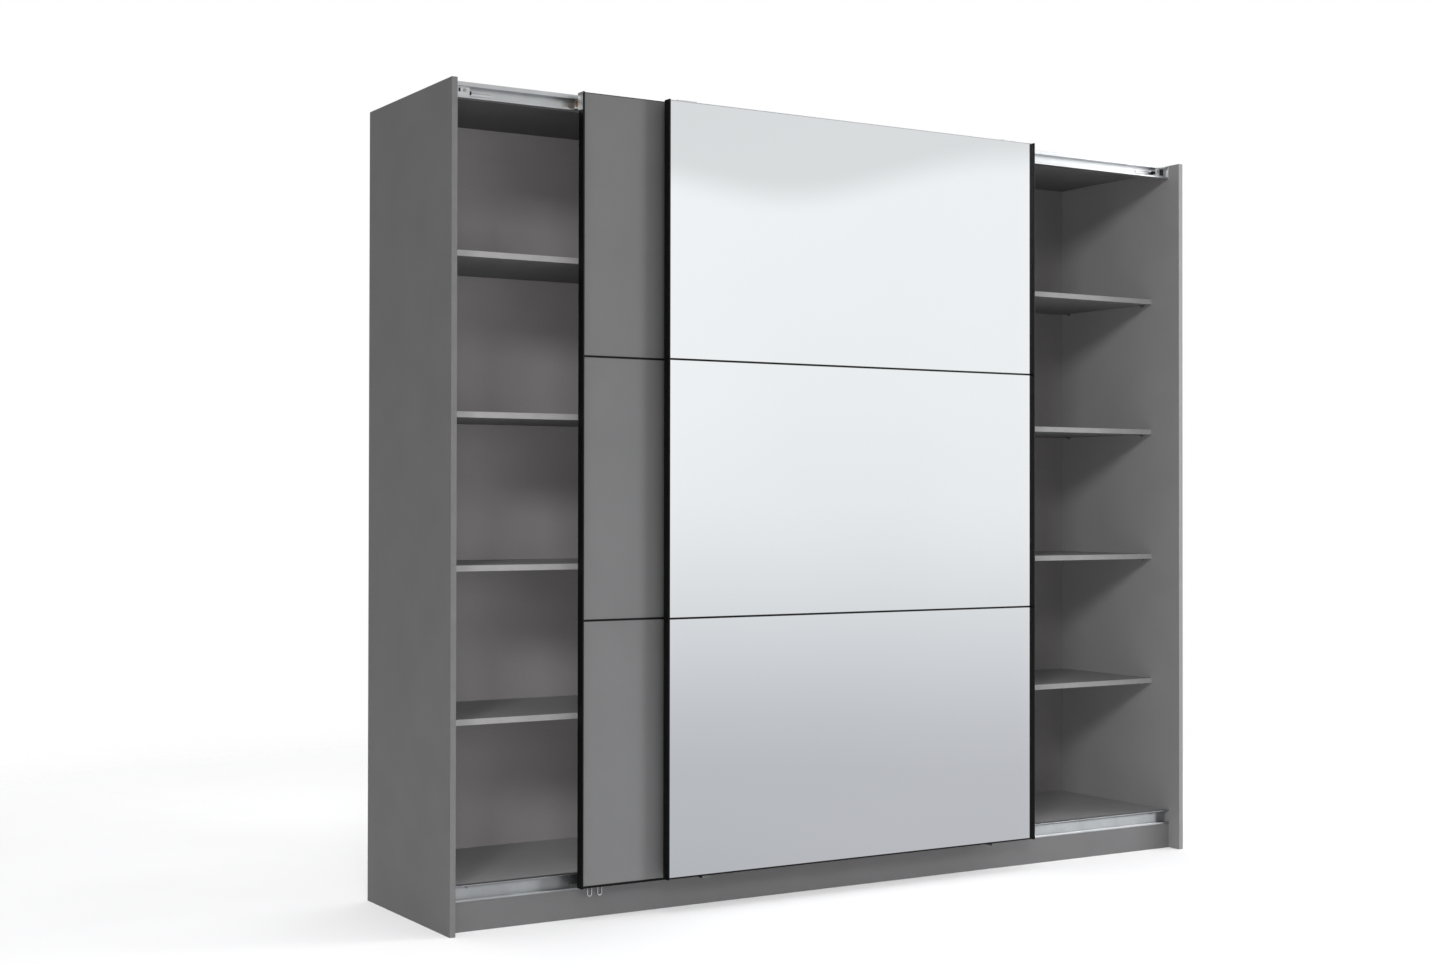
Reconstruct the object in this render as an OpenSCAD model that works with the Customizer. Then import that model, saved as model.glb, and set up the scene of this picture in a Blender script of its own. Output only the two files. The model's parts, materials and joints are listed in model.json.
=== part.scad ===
// Two-door sliding wardrobe in graphite board: a carcass with three bays, an aluminium
// running rail at the top and a guide rail at the bottom, a plain rear door and a mirrored
// front door. X runs along the width, Y from the front to the back, Z up from the floor.
// The origin is on the floor, in the middle of the whole wardrobe's width and depth.

/* [Carcass] */
// Width over the side panels
wardrobe_w = 2500; // [2200:10:2800]
// Height of the side panels
wardrobe_h = 2160; // [1950:10:2360]
// Depth of the side panels
carcass_d = 554; // [480:2:640]
// Thickness of the carcass boards
board_t = 16; // [15:0.5:19]
// Thickness of the back panels
back_t = 3; // [2.5:0.5:5]
// Height of the plinth
plinth_h = 76; // [60:1:100]
// How far the plinth stands behind the side panels' front edges
plinth_setback = 47; // [47:0.5:48]
// How far the partitions stand behind the side panels' front edges
partition_setback = 90; // [80:1:118]
// Height of the levelling feet under the base ribs
foot_h = 20; // [14:1:26]
// Diameter of the levelling feet
foot_d = 30; // [24:1:40]
// Distance of the front feet behind the rails
front_foot_inset = 70; // [40:1:120]
// Distance of the rear feet from the carcass's rear edge
rear_foot_inset = 110; // [60:1:140]
// Margin of the base ribs in front of the carcass's rear edge
rib_margin = 24; // [10:1:60]
// Margin of the back panels inside the carcass's outline
back_margin = 2; // [1:0.5:4]

/* [Shelves] */
// Top face of the lowest shelf above the floor
shelf_1_z = 530; // [480:1:600]
// Top face of the second shelf
shelf_2_z = 927; // [850:1:1000]
// Top face of the third shelf
shelf_3_z = 1325; // [1250:1:1400]
// Top face of the highest shelf in the side bays
shelf_4_z = 1742; // [1650:1:1780]
// Drop of the shelf over the hanging rail below the wardrobe's top
hat_shelf_drop = 318; // [290:1:400]
// How far the shelves stand behind the side panels' front edges
shelf_setback = 122; // [119:1:160]
// Gap between a shelf's end and the panel beside it
shelf_gap = 0.5; // [0.3:0.1:1]
// Diameter of the shelf pins
pin_d = 5; // [4:0.5:6]
// Depth of a shelf pin in its panel
pin_seat = 7.5; // [6:0.5:7.5]
// Distance of the shelf pins from the shelf's front and rear edges
pin_inset = 40; // [30:1:80]
// Outer diameter of the hanging rail
hanger_tube_d = 25; // [20:1:30]
// Wall of the hanging rail
hanger_tube_wall = 1.5; // [1:0.1:2]
// Drop of the hanging rail's axis below the shelf over it
hanger_tube_drop = 62; // [45:1:90]
// Diameter of the rosettes that carry the hanging rail
rosette_d = 44; // [40:1:56]

/* [Rails] */
// How far the rails stand behind the side panels' front edges
rail_setback = 45; // [44:0.5:46]
// Depth of both rails
rail_d = 22; // [22:0.5:24]
// Wall of both rails
rail_wall = 2; // [1.6:0.1:2.2]
// Height of the top rail
top_rail_h = 41; // [40.5:0.5:44]
// Depth of the upper groove, in which the front door runs
groove_h = 11; // [10:0.5:11.5]
// Height of the lip along the top rail's lower channel
channel_lip_h = 5; // [4:0.5:6]
// Width and height of the beads that the rollers run on
bead_w = 3; // [2.4:0.1:3.2]
// Height of the lips and the rib of the bottom rail above its floor
guide_lip_h = 3; // [2:0.5:3.5]
// Distance of the outer rail screws from the side panels
rail_screw_inset = 60; // [50:1:90]
// Number of screws in each rail
rail_screws_n = 9; // [5:1:14]

/* [Doors] */
// Width of each door
door_w = 1255; // [1180:1:1290]
// Height of the front door's lower edge above the floor
front_door_z = 92; // [88:0.5:96]
// Height of the rear door's lower edge above the floor
rear_door_z = 86; // [85.5:0.5:88]
// Height of the lower divider's middle above the floor
divider_1_z = 782; // [600:1:900]
// Height of the upper divider's middle above the floor
divider_2_z = 1471; // [1200:1:1700]
// Thickness of a door's filling, or of its board and mirror together
filling_t = 14.5; // [12:0.5:16]
// Thickness of the mirror glass
mirror_t = 4; // [3:0.5:5]
// Distance between the faces of the two doors
door_pitch = 33; // [32:0.5:36]
// How far the handle strips reach in front of a door's face
lip_reach = 10; // [6:0.5:10.5]
// Width of the handle strips' front
lip_w = 5; // [4:0.5:8]
// Wall of the handle strips' channel
frame_wall = 2; // [1.5:0.1:2.5]
// Wall of the handle strips' rear leg
frame_leg_t = 1.5; // [1:0.1:2]
// Length of the handle strips' rear leg
frame_leg_w = 14; // [8:1:15]
// Visible height of the strip along the front door's bottom
front_foot_strip_h = 4; // [3:0.5:8]
// Visible height of the strip along the rear door's bottom
rear_foot_strip_h = 6; // [4:0.5:10]
// Visible height of the strips along the doors' tops
head_strip_h = 1.5; // [1:0.5:5]
// Visible height of the strips between a door's three fields
divider_w = 4; // [3:0.5:8]
// Thickness of the strips' flanges
flange_t = 1; // [0.6:0.1:1.2]
// Distance of the front door from its closed place at the right
front_door_open = 640; // [0:1:1200]
// Distance of the rear door from its closed place at the left
rear_door_open = 346; // [0:1:800]
// Gap between the closed rear door and the side panel
rear_door_gap = 4; // [3:0.5:8]

/* [Running gear] */
// Radius on which the rollers run
roller_r = 10; // [9:0.5:10.5]
// Height of the rollers' rims above their running radius
roller_rim = 2; // [1:0.1:2.2]
// Width of the rollers
roller_w = 10; // [8:0.5:11]
// Diameter of the roller axles
axle_d = 6; // [5:0.5:6.5]
// Distance of the rollers from a door's edges
roller_inset = 70; // [64:1:120]
// Width of the hanger plates
hanger_w = 60; // [50:1:70]
// Thickness of the hanger plates
hanger_t = 3; // [2.5:0.1:3]
// Length of the hanger plates on the doors' backs
hanger_l = 100; // [80:1:160]
// Distance of the front door's bottom guides from its edges
front_guide_inset = 120; // [20:1:200]
// Width of the front door's bottom guides
front_guide_w = 24; // [20:1:60]
// Distance of the rear door's bottom guides from its edges
rear_guide_inset = 3; // [1:1:60]
// Width of the rear door's bottom guides
rear_guide_w = 60; // [50:1:80]
// Height of the bottom guides' plates on the doors' backs
guide_plate_h = 38; // [32:1:60]
// Thickness of the bottom guides
guide_t = 2; // [1.5:0.1:2.5]
// Length of the rubber buffers on the end stops
buffer_l = 8; // [5:0.5:12]
// Diameter of the rear door's rubber buffers
rear_buffer_d = 10; // [8:0.5:12]
// Diameter of the front door's rubber buffers
front_buffer_d = 5; // [4:0.5:5]
// Thickness of the end stops' plates between the rail and the side panels
end_plate_t = 2; // [1.5:0.1:3]
// Length of the end stops' tongues along the rail
tongue_l = 124; // [100:1:160]
// Height of the end stops' tongues
tongue_h = 11; // [8:0.5:14]
// Diameter of the height adjusters' heads
adjuster_d = 16; // [12:0.5:18]

/* [Fittings] */
// Diameter of the wood screws' shanks
screw_d = 3.5; // [3:0.1:4]
// Length of the wood screws in the carcass
screw_l = 22; // [16:1:30]
// Distance of the front row of cam locks behind the rails
front_joint_inset = 60; // [40:1:100]
// Distance of the rear row of cam locks from the boards' rear edges
rear_joint_inset = 90; // [60:1:120]
// Distance of each dowel from the cam lock beside it
dowel_offset = 32; // [24:1:48]
// Diameter of the wooden dowels
dowel_d = 8; // [6:0.5:8]
// Length of the wooden dowels
dowel_l = 30; // [26:1:36]
// Diameter of the cam locks
cam_d = 15; // [12:0.5:15]
// Distance of the cam locks from the board's end
cam_inset = 34; // [30:1:40]
// Diameter of the cam bolts
cam_bolt_d = 6; // [5:0.5:7]
// Diameter of the hook wire under the bottom rail
hook_wire_d = 2; // [1.6:0.1:2.4]
// Inner width of each hook
hook_w = 10; // [8:0.5:14]
// Height of the hooks
hook_h = 26; // [20:1:32]
// Distance of the hooks from the left side panel's outer face
hook_x = 417; // [300:1:700]
// Distance between the two hooks
hook_pitch = 30; // [24:1:40]

/* [Clearances] */
// Air between a pin and its bore, on the radius
fit = 0.05; // [0.02:0.01:0.1]
// Air between pieces that pass or face each other closely
air = 0.3; // [0.2:0.05:0.5]
// Gap between a rail's end and the side panel
rail_gap = 0.5; // [0.3:0.1:1]

/* [Hidden] */
$fn = 48;

graphite = "#6f6e6f";
graphite_edge = "#8f8f8f";
aluminium = "#c9ccce";
black_metal = "#15120f";
steel = "#b4b7b8";
mirror_tint = "#e3e6e8";
dark_plastic = "#26272a";
rubber = "#1c1c1d";
beech = "#c9a878";
brass = "#a1763f";

// Overall depth, and the shift that puts the origin in its middle
door_reach = door_pitch + lip_reach;
depth_shift = (door_reach - carcass_d - back_t) / 2;

// Carcass levels and stations
half_w = wardrobe_w / 2;
inner_x = half_w - board_t;
rail_back = rail_setback + rail_d;
top_under = wardrobe_h - board_t;
guide_floor_z = plinth_h + rail_wall;
bottom_rail_h = 42;
bottom_top = plinth_h + bottom_rail_h;
bottom_under = bottom_top - board_t;
bay_w = (wardrobe_w - 4 * board_t) / 3;
partition_x = bay_w / 2 + board_t / 2;
shelf_levels = [shelf_1_z, shelf_2_z, shelf_3_z, shelf_4_z];
hat_shelf_z = wardrobe_h - hat_shelf_drop;
shelf_w = bay_w - 2 * shelf_gap;
shelf_d = carcass_d - shelf_setback;
pin_plate_t = 1.5;
pin_stations = [shelf_setback + pin_inset, carcass_d - pin_inset];

// Top rail levels, and the beads' line in the middle of the channel
rail_low = wardrobe_h - top_rail_h;
channel_floor = rail_low + rail_wall;
groove_low = wardrobe_h - groove_h;
groove_floor = groove_low + rail_wall;
bead_y = rail_setback + rail_d / 2;
bead_h = bead_w;
rear_axle_z = channel_floor + bead_h + air + roller_r;
front_axle_z = groove_floor + bead_h + air + roller_r;
rim_r = roller_r + roller_rim;

// Doors: the left edge of each in its shown place, and their levels
front_face = -door_pitch;
rear_face = 0;
door_top = wardrobe_h;
front_left = half_w - door_w - front_door_open;
rear_left = rear_door_gap - inner_x + rear_door_open;
frame_gap = 0.2;
filling_w = door_w - 2 * frame_wall - 2 * frame_gap;
divider_web = 1.6;
screw_head_d = 7;
screw_head_t = 2;

// Bottom guide arms: the front door's passes under the rear door, below its own arm
front_arm_z = plinth_h + rail_wall + guide_lip_h + 1;
rear_arm_z = rear_door_z + 1;
guide_groove_w = (rail_d - 3 * rail_wall) / 2;
front_groove_y = rail_setback + rail_wall + guide_groove_w / 2;
rear_groove_y = rail_back - rail_wall - guide_groove_w / 2;
tongue_w = guide_groove_w - 2;

// Rows of joints between the boards, front to back
joint_rows = [rail_back + front_joint_inset, carcass_d - rear_joint_inset];
foot_rows = [rail_back + front_foot_inset, carcass_d - rear_foot_inset];

// Puts pieces measured from the side panels' front edges into the part's own frame
module place() {
    translate([0, depth_shift, 0])
        children();
}

// A plain board between two corners
module board(low, high) {
    translate(low)
        cube(high - low);
}

// Row of rail screws along the width
module at_rail_screws() {
    pitch = 2 * (inner_x - rail_screw_inset) / (rail_screws_n - 1);
    for (i = [0 : rail_screws_n - 1])
        translate([-inner_x + rail_screw_inset + i * pitch, 0, 0])
            children();
}

// Round bar along Y from one station to another
module bar_y(d, from, to) {
    translate([0, from, 0])
        rotate([-90, 0, 0])
            cylinder(d = d, h = to - from);
}

// Round bar along X from one station to another
module bar_x(d, from, to) {
    translate([from, 0, 0])
        rotate([0, 90, 0])
            cylinder(d = d, h = to - from);
}

// ---- Joints between boards. Local +X runs into the end of the drilled board, -X into the
// ---- face of the other board, and the cam's open face looks along local -Z.
cam_h = board_t - 3.5;
bolt_seat = 10;
dowel_seat = 10;

module cam_lock() {
    difference() {
        translate([cam_inset, 0, -board_t / 2])
            cylinder(d = cam_d, h = cam_h);
        translate([0, -cam_bolt_d / 2 - air, -cam_bolt_d / 2 - air])
            cube([cam_inset + cam_bolt_d / 2 + air, cam_bolt_d + 2 * air, cam_bolt_d + 2 * air]);
        translate([cam_inset, 0, -board_t / 2 - 1])
            cylinder(d = 5, h = 3);
    }
}

module cam_bolt() {
    bar_x(cam_bolt_d, -bolt_seat, cam_inset);
}

module dowel() {
    bar_x(dowel_d, -dowel_seat, dowel_l - dowel_seat - air);
}

// Bores in the end of the drilled board
module end_bores() {
    for (y = joint_rows) {
        translate([0, y, 0]) {
            bar_x(cam_bolt_d + 2 * air, -1, cam_inset);
            translate([cam_inset, 0, -board_t / 2 - 1])
                cylinder(d = cam_d + 2 * fit, h = cam_h + 1 + air);
        }
        translate([0, y + dowel_offset, 0])
            bar_x(dowel_d + 2 * fit, -1, dowel_l - dowel_seat);
    }
}

// Bores in the face of the other board
module face_bores() {
    for (y = joint_rows) {
        translate([0, y, 0])
            bar_x(cam_bolt_d + 2 * fit, -bolt_seat - air, 1);
        translate([0, y + dowel_offset, 0])
            bar_x(dowel_d + 2 * fit, -dowel_seat - air, 1);
    }
}

// Every joint's frame: top and bottom panels in the side panels, partitions in both
module at_top_ends() {
    for (side = [-1, 1])
        scale([side, 1, 1])
            translate([-inner_x, 0, wardrobe_h - board_t / 2])
                mirror([0, 0, 1])
                    children();
}

module at_bottom_ends() {
    for (side = [-1, 1])
        scale([side, 1, 1])
            translate([-inner_x, 0, bottom_top - board_t / 2])
                children();
}

module at_partition_tops() {
    for (side = [-1, 1])
        scale([side, 1, 1])
            translate([-partition_x, 0, top_under])
                rotate([0, 90, 0])
                    children();
}

module at_partition_feet() {
    for (side = [-1, 1])
        scale([side, 1, 1])
            translate([-partition_x, 0, bottom_top])
                rotate([0, -90, 0])
                    mirror([0, 0, 1])
                        children();
}

module at_all_joints() {
    at_top_ends()
        children();
    at_bottom_ends()
        children();
    at_partition_tops()
        children();
    at_partition_feet()
        children();
}

module cam_fittings() {
    color(steel)
        place()
            at_all_joints()
                for (y = joint_rows)
                    translate([0, y, 0]) {
                        cam_lock();
                        cam_bolt();
                    }
}

module dowels() {
    color(beech)
        place()
            at_all_joints()
                for (y = joint_rows)
                    translate([0, y + dowel_offset, 0])
                        dowel();
}

// ---- Shelf pins: a round pin in the panel and a flat spoon under the shelf.
module pin_places(levels, from, to) {
    for (z = levels, y = pin_stations) {
        translate([from, y, z - board_t])
            children();
        translate([to, y, z - board_t])
            mirror([1, 0, 0])
                children();
    }
}

module all_pin_places() {
    pin_places(shelf_levels, -inner_x, -partition_x - board_t / 2)
        children();
    pin_places(shelf_levels, partition_x + board_t / 2, inner_x)
        children();
    pin_places([hat_shelf_z], -bay_w / 2, bay_w / 2)
        children();
}

module pin_bore() {
    translate([0, 0, -pin_plate_t - pin_d / 2])
        bar_x(pin_d + 2 * fit, -pin_seat - air, 1);
}

module shelf_pin() {
    translate([0, 0, -pin_plate_t - pin_d / 2])
        bar_x(pin_d, -pin_seat, pin_d * 1.6);
    translate([0, -pin_d, -pin_plate_t - pin_d / 2])
        cube([pin_d * 2, pin_d * 2, pin_plate_t + pin_d / 2]);
}

module shelf_pins() {
    color(steel)
        place()
            all_pin_places()
                shelf_pin();
}

// ---- Carcass boards
module side_panel(side) {
    color(graphite)
        place()
            difference() {
                scale([side, 1, 1])
                    board([inner_x, 0, 0], [half_w, carcass_d, wardrobe_h]);
                at_top_ends()
                    face_bores();
                at_bottom_ends()
                    face_bores();
                all_pin_places()
                    pin_bore();
            }
}

module left_side_panel() {
    side_panel(-1);
}

module right_side_panel() {
    side_panel(1);
}

module top_panel() {
    color(graphite)
        place()
            difference() {
                board([-inner_x, rail_back, top_under], [inner_x, carcass_d, wardrobe_h]);
                at_top_ends()
                    end_bores();
                at_partition_tops()
                    face_bores();
                at_rail_screws()
                    translate([0, 0, top_screw_z])
                        bar_y(screw_d + 2 * fit, rail_back - 1, rail_back + screw_l + air);
            }
}

module bottom_panel() {
    color(graphite)
        place()
            difference() {
                board([-inner_x, rail_back, bottom_under], [inner_x, carcass_d, bottom_top]);
                at_bottom_ends()
                    end_bores();
                at_partition_feet()
                    face_bores();
                at_rail_screws()
                    translate([0, 0, bottom_screw_z])
                        bar_y(screw_d + 2 * fit, rail_back - 1, rail_back + screw_l + air);
            }
}

module partition(side) {
    color(graphite)
        place()
            difference() {
                scale([side, 1, 1])
                    board([partition_x - board_t / 2, partition_setback, bottom_top],
                          [partition_x + board_t / 2, carcass_d, top_under]);
                at_partition_tops()
                    end_bores();
                at_partition_feet()
                    end_bores();
                all_pin_places()
                    pin_bore();
                at_rosettes()
                    rosette_screw_places()
                        bar_x(screw_d + 2 * fit, -rosette_screw_l - air, 1);
            }
}

module left_partition() {
    partition(-1);
}

module right_partition() {
    partition(1);
}

module plinth() {
    color(graphite)
        place()
            difference() {
                board([-inner_x, plinth_setback, 0], [inner_x, plinth_setback + board_t, plinth_h]);
                at_hooks()
                    hook_pegs(hook_wire_d + 2 * fit, air);
            }
}

// Boards on edge under the partitions, notched behind the bottom rail
module base_ribs() {
    rib_top = bottom_under;
    notch_top = min(plinth_h, rib_top) - 1;
    color(graphite)
        place()
            for (side = [-1, 1])
                translate([side * partition_x - board_t / 2, 0, 0])
                    difference() {
                        union() {
                            board([0, rail_back, foot_h], [board_t, carcass_d - rib_margin, rib_top]);
                            board([0, plinth_setback + board_t, foot_h], [board_t, rail_back, notch_top]);
                        }
                        for (y = foot_rows)
                            translate([board_t / 2, y, foot_h - 1])
                                cylinder(d = foot_stud_d + 2 * fit, h = foot_stud_l + 1 + air);
                    }
}

foot_stud_d = 8;
foot_stud_l = 24;

module levelling_feet() {
    color(dark_plastic)
        place()
            for (side = [-1, 1], y = foot_rows)
                translate([side * partition_x, y, 0]) {
                    cylinder(d = foot_d, h = foot_h / 3);
                    translate([0, 0, foot_h / 3])
                        cylinder(d = foot_d * 0.6, h = foot_h * 2 / 3);
                    cylinder(d = foot_stud_d, h = foot_h + foot_stud_l);
                }
}

// Thin sheets nailed on the rear edges, meeting on the partitions
module back_sheet(from, to) {
    color(graphite)
        place()
            board([from, carcass_d, bottom_under + back_margin],
                  [to, carcass_d + back_t, wardrobe_h - back_margin]);
}

module left_back_panel() {
    back_sheet(-half_w + back_margin, -partition_x - rail_gap / 2);
}

module centre_back_panel() {
    back_sheet(-partition_x + rail_gap / 2, partition_x - rail_gap / 2);
}

module right_back_panel() {
    back_sheet(partition_x + rail_gap / 2, half_w - back_margin);
}

// ---- Shelves and hanging rail
module shelf(level, x) {
    color(graphite)
        place()
            board([x - shelf_w / 2, shelf_setback, level - board_t],
                  [x + shelf_w / 2, carcass_d, level]);
}

module left_shelf(i) {
    shelf(shelf_levels[i], -bay_w - board_t);
}

module right_shelf(i) {
    shelf(shelf_levels[i], bay_w + board_t);
}

module hat_shelf() {
    shelf(hat_shelf_z, 0);
}

rosette_t = 4;
rosette_rim = 10;
rosette_screw_l = 6;
tube_z = hat_shelf_z - board_t - hanger_tube_drop;
tube_y = shelf_setback + shelf_d / 2;

module at_rosettes() {
    for (side = [-1, 1])
        scale([side, 1, 1])
            translate([-bay_w / 2, tube_y, tube_z])
                children();
}

module rosette_screw_places() {
    for (z = [-1, 1])
        translate([0, 0, z * (hanger_tube_d / 4 + rosette_d / 4 + 1)])
            children();
}

module hanging_rail() {
    color(aluminium)
        place()
            translate([0, tube_y, tube_z])
                difference() {
                    bar_x(hanger_tube_d, -bay_w / 2 + rosette_t, bay_w / 2 - rosette_t);
                    bar_x(hanger_tube_d - 2 * hanger_tube_wall, -bay_w, bay_w);
                }
}

// Disc against the partition with a collar round the tube and two short screws
module rail_rosettes() {
    color(steel)
        place()
            at_rosettes() {
                bar_x(rosette_d, 0, rosette_t);
                difference() {
                    bar_x(hanger_tube_d + 5, rosette_t, rosette_t + rosette_rim);
                    bar_x(hanger_tube_d + 2 * fit, rosette_t, rosette_t + rosette_rim + 1);
                }
                rosette_screw_places()
                    bar_x(screw_d, -rosette_screw_l, rosette_t + 0.8);
            }
}

// ---- Rails, drawn as sections in the YZ plane and extruded along the width
module along_rail(gap) {
    place()
        translate([inner_x - gap, 0, 0])
            rotate([90, 0, -90])
                linear_extrude(height = 2 * (inner_x - gap))
                    mirror([1, 0, 0])
                        children();
}

module bead(z) {
    translate([bead_y - bead_w / 2, z])
        square([bead_w, bead_h - bead_w / 2]);
    translate([bead_y, z + bead_h - bead_w / 2])
        circle(d = bead_w);
}

// Upper groove for the front door's rollers, lower channel for the rear door's
module top_rail_section() {
    translate([rail_back - rail_wall, rail_low])
        square([rail_wall, top_rail_h]);
    translate([rail_setback, rail_low])
        square([rail_d, rail_wall]);
    translate([rail_setback, rail_low])
        square([rail_wall, channel_lip_h]);
    translate([rail_setback, groove_low])
        square([rail_d, rail_wall]);
    translate([rail_setback, groove_low])
        square([rail_wall, groove_h]);
    bead(channel_floor);
    bead(groove_floor);
}

top_screw_z = (groove_floor + wardrobe_h) / 2;
bottom_screw_z = bottom_top - board_t / 2;

module web_holes(z) {
    at_rail_screws()
        translate([0, 0, z])
            bar_y(screw_d + 1, rail_back - rail_wall - 1, rail_back + 1);
}

module top_rail() {
    color(aluminium)
        difference() {
            along_rail(end_plate_t + air)
                top_rail_section();
            place()
                web_holes(top_screw_z);
        }
}

// Open channel with two guide grooves along its floor
module bottom_rail_section() {
    translate([rail_back - rail_wall, plinth_h])
        square([rail_wall, bottom_rail_h]);
    translate([rail_setback, plinth_h])
        square([rail_d, rail_wall]);
    translate([rail_setback, bottom_top - rail_wall])
        square([rail_d, rail_wall]);
    translate([rail_setback, plinth_h])
        square([rail_wall, rail_wall + guide_lip_h]);
    translate([rail_setback + rail_wall + guide_groove_w, plinth_h])
        square([rail_wall, rail_wall + guide_lip_h]);
}

module bottom_rail() {
    color(aluminium)
        difference() {
            along_rail(rail_gap)
                bottom_rail_section();
            place()
                web_holes(bottom_screw_z);
        }
}

// Pan-head wood screw along Y, its head's seat at y = 0
module wood_screw(length) {
    bar_y(screw_d, -air, length);
    difference() {
        bar_y(screw_head_d, -screw_head_t, 0);
        bar_y(2.5, -screw_head_t - 1, -screw_head_t / 2);
    }
}

module rail_screws() {
    color(steel)
        place()
            at_rail_screws()
                for (z = [top_screw_z, bottom_screw_z])
                    translate([0, rail_back - rail_wall, z])
                        wood_screw(screw_l + rail_wall);
}

// ---- End stops: at each end of the top rail a plate against the side panel carries a block
// ---- on each track, with a rubber buffer, and a slotted tongue along the channel's web
stop_gap = 0.5;
stop_w = rail_d - 2 * rail_wall - 2 * air;
rear_stop_l = rear_door_gap + roller_inset - rim_r - stop_gap - buffer_l;
rear_stop_h = groove_low - channel_floor - air;
front_stop_h = wardrobe_h - groove_floor;
front_buffer_z = wardrobe_h - air - front_buffer_d / 2;
rim_rise = front_axle_z - front_buffer_z - front_buffer_d / 2;
rim_reach = sqrt(rim_r * rim_r - rim_rise * rim_rise);
front_stop_l = roller_inset - board_t - rim_reach - stop_gap - buffer_l;
stem_l = 6;
tongue_t = 2;
slit_h = 2;
slit_l = tongue_l / 2;

module stop_block(length, z, height, d, buffer_z) {
    difference() {
        translate([0, bead_y - stop_w / 2, z])
            cube([length, stop_w, height]);
        translate([-1, bead_y - bead_w / 2 - air, z - 1])
            cube([length + 2, bead_w + 2 * air, bead_h + air + 1]);
        translate([0, bead_y, buffer_z])
            bar_x(d / 2 + 2 * fit, length - stem_l - air, length + 1);
    }
}

module stop_buffer(length, d, buffer_z) {
    translate([0, bead_y, buffer_z]) {
        bar_x(d, length, length + buffer_l);
        bar_x(d / 2, length - stem_l, length);
    }
}

module stop_tongue() {
    tongue_z = rear_axle_z - tongue_h / 2;
    difference() {
        translate([0, rail_back - rail_wall - tongue_t, tongue_z])
            cube([tongue_l, tongue_t, tongue_h]);
        translate([tongue_l - slit_l - 4, rail_back - rail_wall - tongue_t - 1, rear_axle_z + 1])
            cube([slit_l, tongue_t + 2, slit_h]);
    }
}

module at_rail_ends() {
    for (side = [-1, 1])
        scale([side, 1, 1])
            translate([-inner_x, 0, 0])
                children();
}

module end_stops() {
    color(steel)
        place()
            at_rail_ends() {
                translate([0, rail_setback, rail_low])
                    cube([end_plate_t, rail_d, top_rail_h]);
                stop_block(rear_stop_l, channel_floor, rear_stop_h, rear_buffer_d, rear_axle_z);
                stop_block(front_stop_l, groove_floor, front_stop_h, front_buffer_d, front_buffer_z);
                stop_tongue();
            }
}

module stop_buffers() {
    color(rubber)
        place()
            at_rail_ends() {
                stop_buffer(rear_stop_l, rear_buffer_d, rear_axle_z);
                stop_buffer(front_stop_l, front_buffer_d, front_buffer_z);
            }
}

// ---- Two wire hooks pegged into the plinth under the bottom rail
hook_y = rail_setback - air - hook_wire_d / 2;
hook_top = plinth_h + rail_wall + guide_lip_h - 0.5;
hook_peg_z = plinth_h - 8;
hook_peg_l = 12;

module at_hooks() {
    for (i = [0, 1])
        translate([hook_x - half_w + i * hook_pitch, 0, 0])
            children();
}

module hook_pegs(d, extra) {
    for (x = [-1, 1])
        translate([x * (hook_w + hook_wire_d) / 2, 0, hook_peg_z])
            bar_y(d, hook_y, plinth_setback + hook_peg_l + extra);
}

module plinth_hooks() {
    bend_r = (hook_w + hook_wire_d) / 2;
    bend_z = hook_top - hook_h + bend_r + hook_wire_d / 2;
    color(steel)
        place()
            at_hooks() {
                for (x = [-1, 1])
                    translate([x * bend_r, hook_y, bend_z])
                        cylinder(d = hook_wire_d, h = hook_top - bend_z);
                translate([0, hook_y, bend_z])
                    rotate([-90, 0, 0])
                        rotate_extrude(angle = 180)
                            translate([bend_r, 0])
                                circle(d = hook_wire_d);
                hook_pegs(hook_wire_d, 0);
            }
}

// ---- Doors. Each is drawn with its left edge at x = 0 and its face at y = 0.
module at_front_door() {
    place()
        translate([front_left, front_face, 0])
            children();
}

module at_rear_door() {
    place()
        translate([rear_left, rear_face, 0])
            children();
}

// Both ends of a door, the right one mirrored
module at_door_end(side) {
    translate([side < 0 ? 0 : door_w, 0, 0])
        scale([-side, 1, 1])
            children();
}

door_back = filling_t + frame_leg_t;

// Handle strip: a channel round the filling's edge with a solid rounded lip in front
module handle_section() {
    round_r = 1;
    translate([0, -lip_reach + round_r])
        square([lip_w, lip_reach - round_r]);
    translate([round_r, -lip_reach])
        square([lip_w - 2 * round_r, round_r]);
    for (x = [round_r, lip_w - round_r])
        translate([x, -lip_reach + round_r])
            circle(r = round_r);
    square([frame_wall, door_back]);
    translate([0, filling_t])
        square([frame_leg_w, frame_leg_t]);
}

module handle(side, low) {
    color(black_metal)
        at_door_end(side)
            translate([0, 0, low])
                linear_extrude(height = door_top - low)
                    handle_section();
}

module front_handle(side) {
    at_front_door()
        handle(side, front_door_z);
}

module rear_handle(side) {
    at_rear_door()
        handle(side, rear_door_z);
}

// Strip between two fields: a web with a flange over the front face
module divider() {
    length = door_w - 2 * lip_w - 2 * frame_gap;
    translate([door_w / 2 - filling_w / 2, 0, -divider_web / 2])
        cube([filling_w, filling_t, divider_web]);
    translate([lip_w + frame_gap, -flange_t, -divider_w / 2])
        cube([length, flange_t, divider_w]);
}

module dividers() {
    color(black_metal)
        for (z = [divider_1_z, divider_2_z])
            translate([0, 0, z])
                divider();
}

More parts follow.
